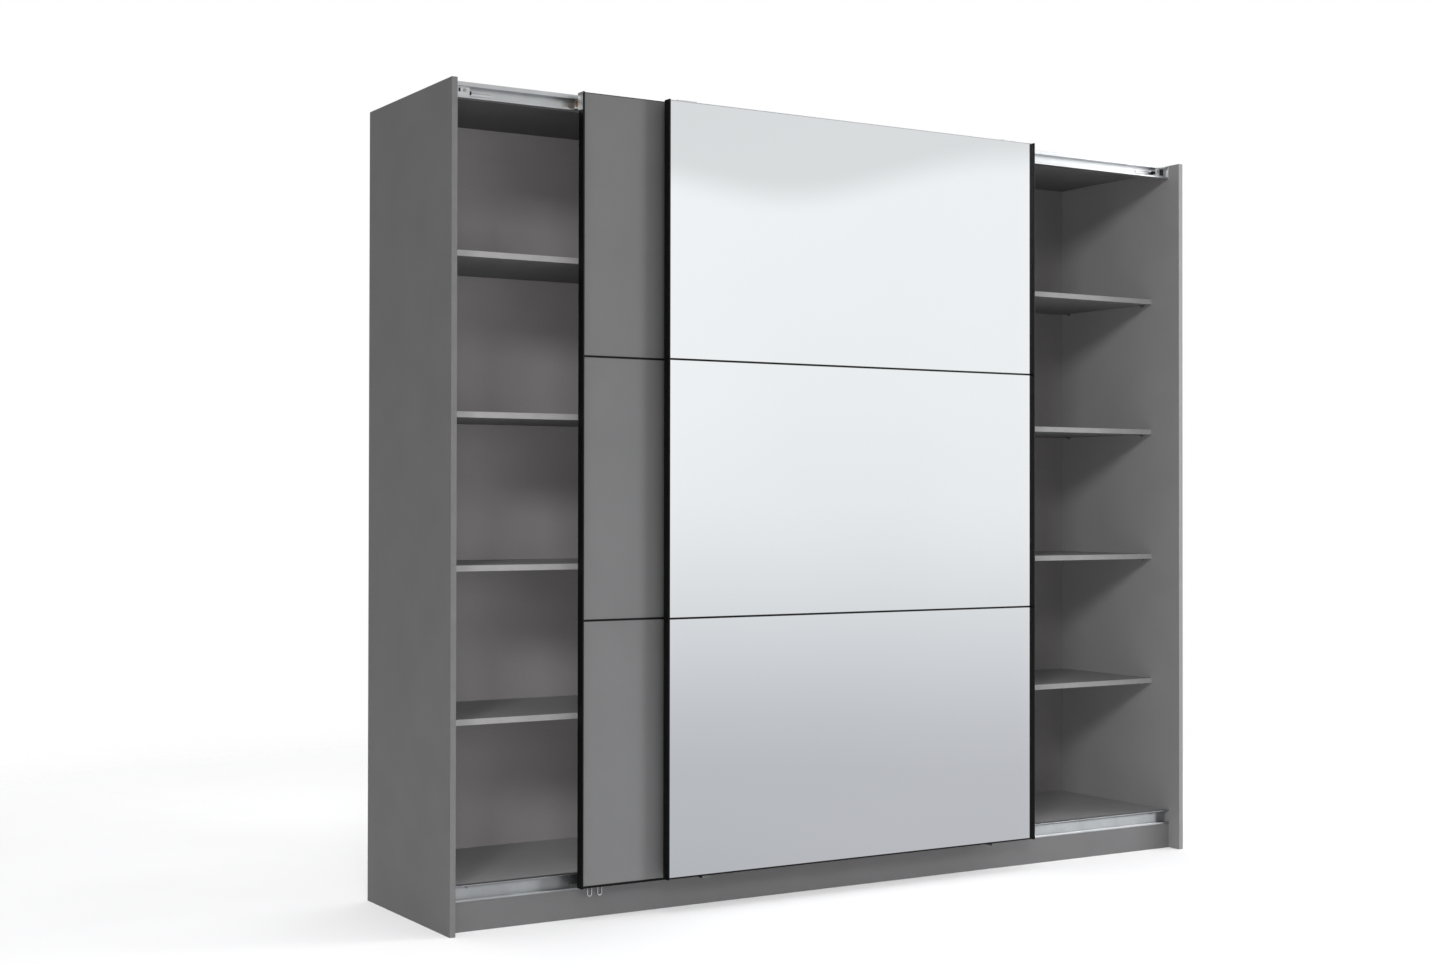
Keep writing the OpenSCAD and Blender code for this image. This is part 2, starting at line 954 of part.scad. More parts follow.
// Caps over the filling's lower and upper edges, between the handle strips
module end_strip(visible_h) {
    length = door_w - 2 * lip_w - 2 * frame_gap;
    back_length = door_w - 2 * frame_leg_w - 2 * frame_gap;
    translate([lip_w + frame_gap, -flange_t, 0])
        cube([length, flange_t, visible_h]);
    translate([door_w / 2 - filling_w / 2, 0, 0])
        cube([filling_w, filling_t, flange_t]);
    translate([frame_leg_w + frame_gap, filling_t, 0])
        cube([back_length, frame_leg_t, 6]);
}

// Both end strips of a door, cut away where the guides and the hangers pass
module end_strips(low, foot_strip_h, guide_x, guide_w) {
    cut_h = 3 * foot_strip_h;
    color(black_metal)
        difference() {
            union() {
                translate([0, 0, low])
                    end_strip(foot_strip_h);
                translate([0, 0, door_top])
                    mirror([0, 0, 1])
                        end_strip(head_strip_h);
            }
            for (side = [-1, 1])
                at_door_end(side) {
                    translate([guide_x - air, filling_t, low - 1])
                        cube([guide_w + 2 * air, frame_leg_t + 1, cut_h]);
                    translate([roller_inset - hanger_w / 2 - air, filling_t, door_top - cut_h])
                        cube([hanger_w + 2 * air, frame_leg_t + 1, cut_h + 1]);
                }
        }
}

// One of the three fields, counted from below, between two depths
module field(i, door_low, from, to) {
    low = [door_low + flange_t, divider_1_z + divider_web / 2, divider_2_z + divider_web / 2][i];
    high = [divider_1_z - divider_web / 2, divider_2_z - divider_web / 2, door_top - flange_t][i];
    translate([door_w / 2 - filling_w / 2, from, low])
        cube([filling_w, to - from, high - low]);
}

// ---- Screw places on a door's back, shared by the hangers, guides and boards
module hanger_screw_places() {
    for (side = [-1, 1])
        at_door_end(side)
            for (x = [-1, 1], z = [-1, 1])
                translate([roller_inset + x * hanger_w / 3, 0, hanger_mid_z + z * hanger_l / 5])
                    children();
}

module guide_screw_places(guide_x, guide_w) {
    for (side = [-1, 1])
        at_door_end(side)
            for (x = [-1, 1])
                translate([guide_x + guide_w / 2 + x * guide_w / 4, 0, guide_screw_z])
                    children();
}

hanger_low = wardrobe_h - hanger_l - 10;
hanger_mid_z = hanger_low + hanger_l / 3;
guide_plate_top = front_door_z + guide_plate_h;
guide_screw_z = front_door_z + guide_plate_h * 2 / 3;
board_screw_l = 9;

module door_screw_bores(guide_x, guide_w) {
    hanger_screw_places()
        bar_y(screw_d + 2 * fit, filling_t - board_screw_l - air, filling_t + 1);
    guide_screw_places(guide_x, guide_w)
        bar_y(screw_d + 2 * fit, filling_t - board_screw_l - air, filling_t + 1);
}

// Screw with its head on the plate and its shank through it into the board
module door_screw(plate) {
    translate([0, filling_t + plate, 0])
        mirror([0, 1, 0])
            wood_screw(plate + board_screw_l);
}

// ---- Front door
module front_door_boards() {
    color(graphite)
        at_front_door()
            difference() {
                for (i = [0 : 2])
                    field(i, front_door_z, mirror_t, filling_t);
                door_screw_bores(front_guide_inset, front_guide_w);
            }
}

module mirror_field(i) {
    color(mirror_tint)
        at_front_door()
            field(i, front_door_z, 0, mirror_t);
}

module front_door_dividers() {
    at_front_door()
        dividers();
}

module front_door_end_strips() {
    at_front_door()
        end_strips(front_door_z, front_foot_strip_h, front_guide_inset, front_guide_w);
}

// Hanger over the rear door: plate on the door's back, arm across, tab down at the rail
tab_y = rail_setback - 2 - hanger_t;
front_tab_low = wardrobe_h - 4;
front_tab_high = front_axle_z + axle_d / 2 + 5;
arm_z = wardrobe_h + 3;

module front_hanger(side) {
    color(steel)
        at_front_door()
            at_door_end(side)
                difference() {
                    union() {
                        translate([roller_inset - hanger_w / 2, filling_t, hanger_low])
                            cube([hanger_w, hanger_t, arm_z + hanger_t - hanger_low]);
                        translate([roller_inset - hanger_w / 2, filling_t, arm_z])
                            cube([hanger_w, tab_y + hanger_t - front_face - filling_t, hanger_t]);
                        translate([roller_inset - hanger_w / 2, tab_y - front_face, front_tab_low])
                            cube([hanger_w, hanger_t, front_tab_high - front_tab_low]);
                        translate([roller_inset, 0, front_axle_z])
                            bar_y(axle_d, tab_y - front_face + hanger_t / 2, axle_end - front_face);
                    }
                    hanger_holes();
                }
}

axle_end = bead_y + roller_w / 2 + 1;

module hanger_holes() {
    for (x = [-1, 1], z = [-1, 1])
        translate([roller_inset + x * hanger_w / 3, 0, hanger_mid_z + z * hanger_l / 5])
            bar_y(screw_d + 1, filling_t - 1, filling_t + hanger_t + 3);
}

// Bottom guide: plate on the door's back, arm to the rail, tongue in its groove. The rear
// door's plates stand behind its handle strips, on a pad of the strips' thickness.
module guide(arm_z, face, groove_y, guide_x, guide_w, pad) {
    pad_x = max(guide_x, frame_leg_w + frame_gap);
    difference() {
        union() {
            translate([guide_x, filling_t + pad, arm_z])
                cube([guide_w, guide_t, guide_plate_top - arm_z]);
            translate([pad_x, filling_t, arm_z])
                cube([guide_x + guide_w - pad_x, pad + guide_t, guide_plate_top - arm_z]);
            translate([guide_x, filling_t + pad, arm_z])
                cube([guide_w, groove_y + tongue_w / 2 - face - filling_t - pad, guide_t]);
            translate([guide_x, groove_y - tongue_w / 2 - face, guide_floor_z + air])
                cube([guide_w, tongue_w, arm_z + guide_t - guide_floor_z - air]);
        }
        for (x = [-1, 1])
            translate([guide_x + guide_w / 2 + x * guide_w / 4, 0, guide_screw_z])
                bar_y(screw_d + 1, filling_t - 1, filling_t + pad + guide_t + 1);
    }
}

module front_door_guides() {
    color(dark_plastic)
        at_front_door()
            for (side = [-1, 1])
                at_door_end(side)
                    guide(front_arm_z, front_face, front_groove_y, front_guide_inset, front_guide_w, 0);
}

module front_door_screws() {
    color(steel)
        at_front_door() {
            hanger_screw_places()
                door_screw(hanger_t);
            guide_screw_places(front_guide_inset, front_guide_w)
                door_screw(guide_t);
        }
}

// ---- Rear door
module rear_panel(i) {
    color(graphite_edge)
        at_rear_door()
            difference() {
                field(i, rear_door_z, 0, filling_t);
                door_screw_bores(rear_guide_inset, rear_guide_w);
            }
}

module rear_door_dividers() {
    at_rear_door()
        dividers();
}

module rear_door_end_strips() {
    at_rear_door()
        end_strips(rear_door_z, rear_foot_strip_h, rear_guide_inset, rear_guide_w);
}

// Hanger behind the rear door: plate, shelf and tab in front of the channel, with a cheek
// that wraps the handle strip's outer side and a block for the height adjuster
cheek_h = 47;
cheek_t = 1.5;
cheek_reach = 8;
adjuster_w = 18;
adjuster_h = 22;
rear_tab_low = channel_floor + 1;
rear_tab_high = rear_axle_z + axle_d / 2 + 5;
plate_back = filling_t + frame_leg_t + hanger_t;

module rear_hanger(side) {
    color(steel)
        at_rear_door()
            at_door_end(side)
                difference() {
                    union() {
                        translate([frame_leg_w + frame_gap, filling_t, hanger_low])
                            cube([roller_inset + hanger_w / 2 - frame_leg_w - frame_gap, hanger_t + frame_leg_t,
                                  hanger_l]);
                        translate([-cheek_t, door_back, door_top - cheek_h])
                            cube([roller_inset + cheek_t, hanger_t, cheek_h - 10]);
                        translate([-cheek_t, -cheek_reach, door_top - cheek_h])
                            cube([cheek_t, plate_back + cheek_reach, cheek_h - 1]);
                        translate([2, plate_back - 1, rear_tab_low])
                            cube([adjuster_w, tab_y + hanger_t - plate_back + 1, adjuster_h]);
                        translate([roller_inset - hanger_w / 2, plate_back - 1, rear_tab_low])
                            cube([hanger_w, tab_y + hanger_t - plate_back + 1, hanger_t]);
                        translate([roller_inset - hanger_w / 2, tab_y, rear_tab_low])
                            cube([hanger_w, hanger_t, rear_tab_high - rear_tab_low]);
                        translate([roller_inset, 0, rear_axle_z])
                            bar_y(axle_d, tab_y + hanger_t / 2, axle_end);
                    }
                    hanger_holes();
                    adjuster_place()
                        bar_x(adjuster_shank_d + 2 * fit, 0, adjuster_shank_l + air);
                }
}

// Height adjusters: a round head against the hanger's block, its shank in the block
adjuster_shank_d = 6;
adjuster_shank_l = 14;
adjuster_head_t = 2;

module adjuster_place() {
    translate([2, (plate_back + tab_y + hanger_t) / 2, rear_tab_low + adjuster_h / 2])
        children();
}

module rear_door_adjusters() {
    color(brass)
        at_rear_door()
            for (side = [-1, 1])
                at_door_end(side)
                    adjuster_place()
                        difference() {
                            union() {
                                bar_x(adjuster_d, -adjuster_head_t, 0);
                                bar_x(adjuster_shank_d, -adjuster_head_t, adjuster_shank_l);
                            }
                            translate([-adjuster_head_t - 1, -0.6, -adjuster_d / 3])
                                cube([2, 1.2, adjuster_d * 2 / 3]);
                        }
}

module rear_door_guides() {
    color(dark_plastic)
        at_rear_door()
            for (side = [-1, 1])
                at_door_end(side)
                    guide(rear_arm_z, rear_face, rear_groove_y, rear_guide_inset, rear_guide_w, frame_leg_t);
}

module rear_door_screws() {
    color(steel)
        at_rear_door() {
            hanger_screw_places()
                door_screw(hanger_t + frame_leg_t);
            guide_screw_places(rear_guide_inset, rear_guide_w)
                door_screw(guide_t + frame_leg_t);
        }
}

// ---- Rollers, grooved to ride on the beads
module roller() {
    bore_r = axle_d / 2 + fit;
    groove_half = bead_w / 2 + air;
    rotate([-90, 0, 0])
        rotate_extrude()
            polygon([
                [bore_r, -roller_w / 2],
                [rim_r - 0.6, -roller_w / 2],
                [rim_r, -roller_w / 2 + 0.6],
                [rim_r, -groove_half],
                [roller_r, -groove_half],
                [roller_r, groove_half],
                [rim_r, groove_half],
                [rim_r, roller_w / 2 - 0.6],
                [rim_r - 0.6, roller_w / 2],
                [bore_r, roller_w / 2]
            ]);
}

module front_roller(side) {
    color(dark_plastic)
        at_front_door()
            at_door_end(side)
                translate([roller_inset, bead_y - front_face, front_axle_z])
                    roller();
}

module rear_roller(side) {
    color(dark_plastic)
        at_rear_door()
            at_door_end(side)
                translate([roller_inset, bead_y, rear_axle_z])
                    roller();
}

left_side_panel();
right_side_panel();
top_panel();
bottom_panel();
plinth();
left_partition();
right_partition();
left_back_panel();
centre_back_panel();
right_back_panel();
base_ribs();
levelling_feet();
left_shelf(0);  // left_shelf_1
left_shelf(1);  // left_shelf_2
left_shelf(2);  // left_shelf_3
left_shelf(3);  // left_shelf_4
right_shelf(0);  // right_shelf_1
right_shelf(1);  // right_shelf_2
right_shelf(2);  // right_shelf_3
right_shelf(3);  // right_shelf_4
hat_shelf();
hanging_rail();
rail_rosettes();
shelf_pins();
top_rail();
bottom_rail();
rail_screws();
end_stops();
stop_buffers();
plinth_hooks();
cam_fittings();
dowels();
front_door_boards();
mirror_field(2);  // mirror_top
mirror_field(1);  // mirror_middle
mirror_field(0);  // mirror_bottom
front_handle(-1);  // front_left_handle
front_handle(1);  // front_right_handle
front_door_dividers();
front_door_end_strips();
front_hanger(-1);  // front_left_hanger
front_hanger(1);  // front_right_hanger
front_door_guides();
front_door_screws();
front_roller(-1);  // front_left_roller
front_roller(1);  // front_right_roller
rear_panel(2);  // rear_panel_top
rear_panel(1);  // rear_panel_middle
rear_panel(0);  // rear_panel_bottom
rear_handle(-1);  // rear_left_handle
rear_handle(1);  // rear_right_handle
rear_door_dividers();
rear_door_end_strips();
rear_hanger(-1);  // rear_left_hanger
rear_hanger(1);  // rear_right_hanger
rear_door_adjusters();
rear_door_guides();
rear_door_screws();
rear_roller(-1);  // rear_left_roller
rear_roller(1);  // rear_right_roller
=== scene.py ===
"""Two-door sliding wardrobe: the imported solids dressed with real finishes, eased edges and fittings."""
import json
import math

import bmesh
import bpy
from mathutils import Matrix, Vector

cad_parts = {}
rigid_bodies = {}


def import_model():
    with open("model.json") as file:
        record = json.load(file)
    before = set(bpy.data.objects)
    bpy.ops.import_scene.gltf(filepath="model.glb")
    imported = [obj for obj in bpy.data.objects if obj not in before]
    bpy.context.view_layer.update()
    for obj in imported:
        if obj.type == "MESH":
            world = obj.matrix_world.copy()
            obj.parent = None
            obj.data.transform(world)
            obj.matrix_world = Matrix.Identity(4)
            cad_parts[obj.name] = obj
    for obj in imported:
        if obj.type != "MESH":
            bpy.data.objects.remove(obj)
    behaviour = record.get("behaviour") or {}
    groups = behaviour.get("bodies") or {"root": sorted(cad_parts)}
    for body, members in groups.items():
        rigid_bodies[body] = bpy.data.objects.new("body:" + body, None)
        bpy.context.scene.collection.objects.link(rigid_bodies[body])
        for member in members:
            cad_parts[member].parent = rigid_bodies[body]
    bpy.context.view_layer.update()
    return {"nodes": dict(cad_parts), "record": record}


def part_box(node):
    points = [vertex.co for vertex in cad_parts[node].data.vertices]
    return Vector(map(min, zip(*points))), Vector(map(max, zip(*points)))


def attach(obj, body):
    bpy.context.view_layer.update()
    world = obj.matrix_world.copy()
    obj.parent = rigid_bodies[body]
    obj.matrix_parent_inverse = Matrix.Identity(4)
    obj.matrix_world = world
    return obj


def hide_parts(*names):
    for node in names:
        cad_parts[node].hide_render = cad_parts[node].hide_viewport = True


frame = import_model()
NODES = frame["nodes"]
SUBPARTS = {row["node"]: row for row in frame["record"]["subparts"]}
BODY_OF = {node: body for body, members in frame["record"]["behaviour"]["bodies"].items() for node in members}
# The scene is in metres. Bevels and small sizes are written in millimetres
MM = 0.001
SAME_POINT = 0.01 * MM

# ---------------------------------------------------------------- camera
# It stands to the left at about 1.1 m, turned to the right, a touch upwards and nearly level
YAW, PITCH, ROLL = math.radians(31.450), math.radians(0.541), math.radians(0.081)
CAMERA_AT = (-3.2927, -4.9015, 1.0942)
LENS, SENSOR = 50.0, 36.0
camera_data = bpy.data.cameras.new("camera")
camera_data.lens = LENS
camera_data.sensor_width = SENSOR
camera_data.clip_end = 100.0
camera = bpy.data.objects.new("camera", camera_data)
bpy.context.scene.collection.objects.link(camera)
bpy.context.scene.camera = camera
ahead = Vector((math.sin(YAW) * math.cos(PITCH), math.cos(YAW) * math.cos(PITCH), math.sin(PITCH)))
level = Vector((math.cos(YAW), -math.sin(YAW), 0.0))
upward = level.cross(ahead)
right = level * math.cos(ROLL) + upward * math.sin(ROLL)
upright = upward * math.cos(ROLL) - level * math.sin(ROLL)
turn = Matrix((right, upright, -ahead)).transposed().to_4x4()
camera.matrix_world = Matrix.Translation(CAMERA_AT) @ turn
bpy.context.scene.view_settings.view_transform = "Standard"


# ---------------------------------------------------------------- materials
def linear(hex_colour):
    """A colour written as sRGB hex, as linear numbers with alpha."""
    parts = [int(hex_colour[i:i + 2], 16) / 255 for i in (1, 3, 5)]
    return tuple(c / 12.92 if c <= 0.04045 else ((c + 0.055) / 1.055) ** 2.4 for c in parts) + (1.0,)


def tints(low, high):
    """The stops that run a pattern's darker and lighter parts between two close colours."""
    return (0.3, linear(low)), (0.7, linear(high))


def add(tree, kind, settings=None, inputs=None, stops=(), into=None):
    """Adds one node, with its settings, its inputs set or linked, and its first output linked on."""
    made = tree.nodes.new(kind)
    for key, value in (settings or {}).items():
        setattr(made, key, value)
    for key, value in (inputs or {}).items():
        if isinstance(value, bpy.types.Node):
            value = value.outputs[0]
        if isinstance(value, bpy.types.NodeSocket):
            tree.links.new(value, made.inputs[key])
        else:
            made.inputs[key].default_value = value
    for i, (position, colour) in enumerate(stops):
        if i >= len(made.color_ramp.elements):
            made.color_ramp.elements.new(position)
        made.color_ramp.elements[i].position = position
        made.color_ramp.elements[i].color = colour
    if into:
        tree.links.new(made.outputs[0], into)
    return made


def begin(name, metallic=0.0, specular=0.5):
    """A new material: its own tree, its shader's inputs and the object coordinates."""
    material = bpy.data.materials.new(name)
    material.use_nodes = True
    tree = material.node_tree
    shader = tree.nodes["Principled BSDF"].inputs
    shader["Metallic"].default_value = metallic
    if not metallic:
        shader["Specular IOR Level"].default_value = specular
    return material, tree, shader, add(tree, "ShaderNodeTexCoord").outputs["Object"]


def cells(x, y, z):
    """The scale of a pattern whose cells are so many millimetres each way."""
    return (1000 / x, 1000 / y, 1000 / z)


def melamine(name, low, high, rough):
    """Melamine-faced chipboard, pressed between pearl-textured plates. The paper under the resin
    clouds the colour faintly over a hand's width, and the pearl breaks reflections up into a soft
    sheen. Its 0.7 mm grain is drawn at 1.4 mm, as coarse as it needs to show."""
    material, tree, shader, place = begin(name, 0.0, 0.35)
    broad = add(tree, "ShaderNodeMapping", None, {"Vector": place, "Scale": cells(150, 150, 150)})
    cloud = add(tree, "ShaderNodeTexNoise", None, {"Vector": broad, "Scale": 1.0, "Detail": 4.0})
    add(tree, "ShaderNodeValToRGB", None, {"Fac": cloud}, tints(low, high), shader["Base Color"])
    fine = add(tree, "ShaderNodeMapping", None, {"Vector": place, "Scale": cells(1.4, 1.4, 1.4)})
    pearl = add(tree, "ShaderNodeTexNoise", None, {"Vector": fine, "Scale": 1.0, "Detail": 2.0})
    add(tree, "ShaderNodeMapRange", None, {"Value": pearl, "To Min": rough[0], "To Max": rough[1]},
        into=shader["Roughness"])
    add(tree, "ShaderNodeBump", None, {"Strength": 0.5, "Distance": 0.05 * MM, "Height": pearl},
        into=shader["Normal"])
    return material


def edge_band(name, low, high):
    """ABS edge band, extruded and glued on: smoother than the board's face, with the scraper's fine
    lines along it, so that it catches the light as a paler line. The lines are hair-fine and drawn
    at 1.1 mm, as coarse as they need to show."""
    material, tree, shader, place = begin(name, 0.0, 0.45)
    along = add(tree, "ShaderNodeMapping", None, {"Vector": place, "Scale": cells(30, 1.1, 30)})
    scrape = add(tree, "ShaderNodeTexNoise", None, {"Vector": along, "Scale": 1.0, "Detail": 3.0})
    add(tree, "ShaderNodeValToRGB", None, {"Fac": scrape}, tints(low, high), shader["Base Color"])
    add(tree, "ShaderNodeMapRange", None, {"Value": scrape, "To Min": 0.34, "To Max": 0.44},
        into=shader["Roughness"])
    add(tree, "ShaderNodeBump", None, {"Strength": 0.4, "Distance": 0.03 * MM, "Height": scrape},
        into=shader["Normal"])
    return material


def hardboard(name, low, high):
    """Lacquered hardboard, wet-pressed: matt, with short felted fibres under the paint that lie
    mostly level. The fibres are about 3 mm long and drawn at 5 mm, as coarse as they need to show."""
    material, tree, shader, place = begin(name, 0.0, 0.25)
    felt = add(tree, "ShaderNodeMapping", None, {"Vector": place, "Scale": cells(5, 5, 2)})
    fibre = add(tree, "ShaderNodeTexNoise", None,
                {"Vector": felt, "Scale": 1.0, "Detail": 5.0, "Roughness": 0.7})
    broad = add(tree, "ShaderNodeMapping", None, {"Vector": place, "Scale": cells(220, 220, 220)})
    cloud = add(tree, "ShaderNodeTexNoise", None, {"Vector": broad, "Scale": 1.0, "Detail": 3.0})
    both = add(tree, "ShaderNodeMath", {"operation": "MULTIPLY"}, {0: fibre, 1: cloud})
    felted = (0.12, linear(low)), (0.42, linear(high))
    add(tree, "ShaderNodeValToRGB", None, {"Fac": both}, felted, shader["Base Color"])
    add(tree, "ShaderNodeMapRange", None, {"Value": fibre, "To Min": 0.62, "To Max": 0.75},
        into=shader["Roughness"])
    add(tree, "ShaderNodeBump", None, {"Strength": 0.6, "Distance": 0.08 * MM, "Height": fibre},
        into=shader["Normal"])
    return material


def metal(name, low, high, rough, streak, depth=0.02):
    """Bare or plated metal. The streaks lie the way it was drawn, rolled or turned, stretch each
    highlight that way, and a cloud in the plating shifts the colour a little. Real streaks are under
    0.1 mm wide, and they are drawn at the sizes given, as coarse as they need to show."""
    material, tree, shader, place = begin(name, 1.0)
    drawn = add(tree, "ShaderNodeMapping", None, {"Vector": place, "Scale": cells(*streak)})
    lines = add(tree, "ShaderNodeTexNoise", None,
                {"Vector": drawn, "Scale": 1.0, "Detail": 4.0, "Roughness": 0.6})
    broad = add(tree, "ShaderNodeMapping", None, {"Vector": place, "Scale": cells(45, 45, 45)})
    cloud = add(tree, "ShaderNodeTexNoise", None, {"Vector": broad, "Scale": 1.0, "Detail": 3.0})
    add(tree, "ShaderNodeValToRGB", None, {"Fac": cloud}, tints(low, high), shader["Base Color"])
    add(tree, "ShaderNodeMapRange", None, {"Value": lines, "To Min": rough[0], "To Max": rough[1]},
        into=shader["Roughness"])
    add(tree, "ShaderNodeBump", None, {"Strength": 0.6, "Distance": depth * MM, "Height": lines},
        into=shader["Normal"])
    return material


def dyed_anodising(name, low, high):
    """Black-dyed anodised aluminium, extruded: the dye hides the metal, so it shades as a dark
    satin film with the die's fine lines running up the strip. The lines are drawn at 0.8 mm, as
    coarse as they need to show."""
    material, tree, shader, place = begin(name, 0.0, 0.2)
    drawn = add(tree, "ShaderNodeMapping", None, {"Vector": place, "Scale": cells(0.8, 0.8, 120)})
    lines = add(tree, "ShaderNodeTexNoise", None, {"Vector": drawn, "Scale": 1.0, "Detail": 4.0})
    add(tree, "ShaderNodeValToRGB", None, {"Fac": lines}, tints(low, high), shader["Base Color"])
    add(tree, "ShaderNodeMapRange", None, {"Value": lines, "To Min": 0.42, "To Max": 0.55},
        into=shader["Roughness"])
    add(tree, "ShaderNodeBump", None, {"Strength": 0.5, "Distance": 0.02 * MM, "Height": lines},
        into=shader["Normal"])
    return material


def silvered_glass(name, low, high):
    """Float glass silvered on its back: a clean image that loses a little light, with the float
    bath's slow waviness over about a metre."""
    material, tree, shader, place = begin(name, 1.0)
    broad = add(tree, "ShaderNodeMapping", None, {"Vector": place, "Scale": cells(900, 900, 900)})
    wave = add(tree, "ShaderNodeTexNoise", None, {"Vector": broad, "Scale": 1.0, "Detail": 1.0})
    add(tree, "ShaderNodeValToRGB", None, {"Fac": wave}, tints(low, high), shader["Base Color"])
    add(tree, "ShaderNodeMapRange", None, {"Value": wave, "To Min": 0.012, "To Max": 0.022},
        into=shader["Roughness"])
    return material


def moulded(name, low, high, rough, grit=1.2, depth=0.03):
    """Moulded nylon, ABS or rubber: a dull sheen over the fine grain of a spark-eroded mould. The
    real grain is about 0.1 mm, and it is drawn ten times as coarse, so that it shows."""
    material, tree, shader, place = begin(name, 0.0, 0.4)
    fine = add(tree, "ShaderNodeMapping", None, {"Vector": place, "Scale": cells(grit, grit, grit)})
    grain = add(tree, "ShaderNodeTexNoise", None, {"Vector": fine, "Scale": 1.0, "Detail": 3.0})
    add(tree, "ShaderNodeValToRGB", None, {"Fac": grain}, tints(low, high), shader["Base Color"])
    add(tree, "ShaderNodeMapRange", None, {"Value": grain, "To Min": rough[0], "To Max": rough[1]},
        into=shader["Roughness"])
    add(tree, "ShaderNodeBump", None, {"Strength": 0.7, "Distance": depth * MM, "Height": grain},
        into=shader["Normal"])
    return material


def turned_beech(name, low, high):
    """Beech dowel, turned along its grain: warm pinkish brown with short darker flecks."""
    material, tree, shader, place = begin(name, 0.0, 0.3)
    along = add(tree, "ShaderNodeMapping", None, {"Vector": place, "Scale": cells(9, 0.9, 0.9)})
    grain = add(tree, "ShaderNodeTexNoise", None, {"Vector": along, "Scale": 1.0, "Detail": 5.0})
    add(tree, "ShaderNodeValToRGB", None, {"Fac": grain}, tints(low, high), shader["Base Color"])
    add(tree, "ShaderNodeMapRange", None, {"Value": grain, "To Min": 0.55, "To Max": 0.68},
        into=shader["Roughness"])
    add(tree, "ShaderNodeBump", None, {"Strength": 0.6, "Distance": 0.05 * MM, "Height": grain},
        into=shader["Normal"])
    return material


board_face = melamine("graphite_melamine_board", "#787778", "#7c7b7c", (0.50, 0.60))
board_edge = edge_band("graphite_abs_edge_band", "#7f7e7e", "#848383")
door_face = melamine("graphite_melamine_door_panel", "#7f7f80", "#828283", (0.48, 0.58))
cap_plastic = moulded("graphite_abs_cap", "#6f6e6f", "#747374", (0.40, 0.50))
rail_metal = metal("natural_anodised_aluminium", "#d6d8da", "#e0e1e2", (0.26, 0.36), (140, 0.6, 0.6))
# The bottom rail is the top rail's anodised aluminium, made matt, with its colour darkened as painted shade
shaded_floor_rail_metal = metal("matt_anodised_aluminium", "#999b9d", "#a3a5a7", (0.42, 0.54), (140, 0.6, 0.6))
zinc = metal("zinc_plated_steel", "#a9aaa8", "#bdbdb9", (0.34, 0.48), (3, 3, 3))
guide_nylon = moulded("natural_grey_nylon", "#6f7a75", "#7f8984", (0.40, 0.52))
cast_zinc = metal("die_cast_zinc", "#d6d8d9", "#e8e9ea", (0.30, 0.46), (2.2, 2.2, 2.2), 0.06)
bright_wire = metal("bright_drawn_wire", "#ececed", "#f4f4f4", (0.48, 0.58), (0.8, 0.8, 40))
FINISH = {
    "graphite_board": board_face,
    "door_panel": door_face,
    "back_sheet": hardboard("graphite_lacquered_hardboard", "#6e6c6d", "#777576"),
    "mirror_glass": silvered_glass("silvered_float_glass", "#eceef0", "#f1f2f4"),
    "rail_aluminium": rail_metal,
    "black_profile": dyed_anodising("black_anodised_aluminium", "#060505", "#0d0b0a"),
    "zinc_steel": zinc,
    "chromed_steel": metal("polished_chrome_tube", "#dcdedf", "#e6e8e9", (0.06, 0.12), (120, 1, 1), 0.01),
    "dark_plastic": moulded("black_nylon", "#1b1c1e", "#242628", (0.42, 0.55)),
    "buffer_rubber": moulded("black_buffer_rubber", "#121213", "#1a1a1b", (0.62, 0.75), 0.8, 0.05),
    "beech": turned_beech("turned_beech", "#a9824f", "#d6b483"),
    "brass_screw": metal("yellow_passivated_steel", "#6d4420", "#8f6432", (0.35, 0.50), (2, 2, 2)),
}
for node_name, cad_object in NODES.items():
    finish = FINISH[SUBPARTS[node_name]["material_slot"]]
    if not cad_object.material_slots:
        cad_object.data.materials.append(finish)
    for material_slot in cad_object.material_slots:
        material_slot.material = finish


# ---------------------------------------------------------------- hand tools
def clear():
    """Leaves edit mode with nothing selected."""
    if bpy.context.mode != "OBJECT":
        bpy.ops.object.mode_set(mode="OBJECT")
    bpy.ops.object.select_all(action="DESELECT")


def only(piece):
    """Leaves edit mode with this piece alone selected and active."""
    clear()
    bpy.context.view_layer.objects.active = piece
    piece.select_set(True)


def pick(piece, kind, wanted):
    """Opens a piece in edit mode with only the wanted vertices, edges or faces selected."""
    only(piece)
    bpy.ops.object.mode_set(mode="EDIT")
    bpy.ops.mesh.select_mode(type=kind)
    bpy.ops.mesh.select_all(action="DESELECT")
    form = bmesh.from_edit_mesh(piece.data)
    for part in {"VERT": form.verts, "EDGE": form.edges, "FACE": form.faces}[kind]:
        if wanted(part):
            part.select_set(True)
    bmesh.update_edit_mesh(piece.data)


def middle(part):
    """The middle of an edge or a face."""
    return sum((corner.co for corner in part.verts), Vector()) / len(part.verts)


def block(name, low, high):
    """A cube primitive stretched between two corners."""
    clear()
    low, high = Vector(low), Vector(high)
    bpy.ops.mesh.primitive_cube_add(size=1.0, location=(low + high) / 2)
    bpy.context.object.name = name
    bpy.context.object.scale = high - low
    bpy.ops.object.transform_apply(location=True, rotation=True, scale=True)
    return bpy.context.object


def rod(name, centre, radius, length, axis, sides=32):
    """A cylinder primitive of a radius and length, lying along y or standing along z."""
    clear()
    tilt = {"y": (math.pi / 2, 0, 0), "z": (0, 0, 0)}[axis]
    bpy.ops.mesh.primitive_cylinder_add(vertices=sides, radius=radius, depth=length, location=centre,
                                        rotation=tilt)
    bpy.context.object.name = name
    bpy.ops.object.transform_apply(location=True, rotation=True, scale=True)
    return bpy.context.object


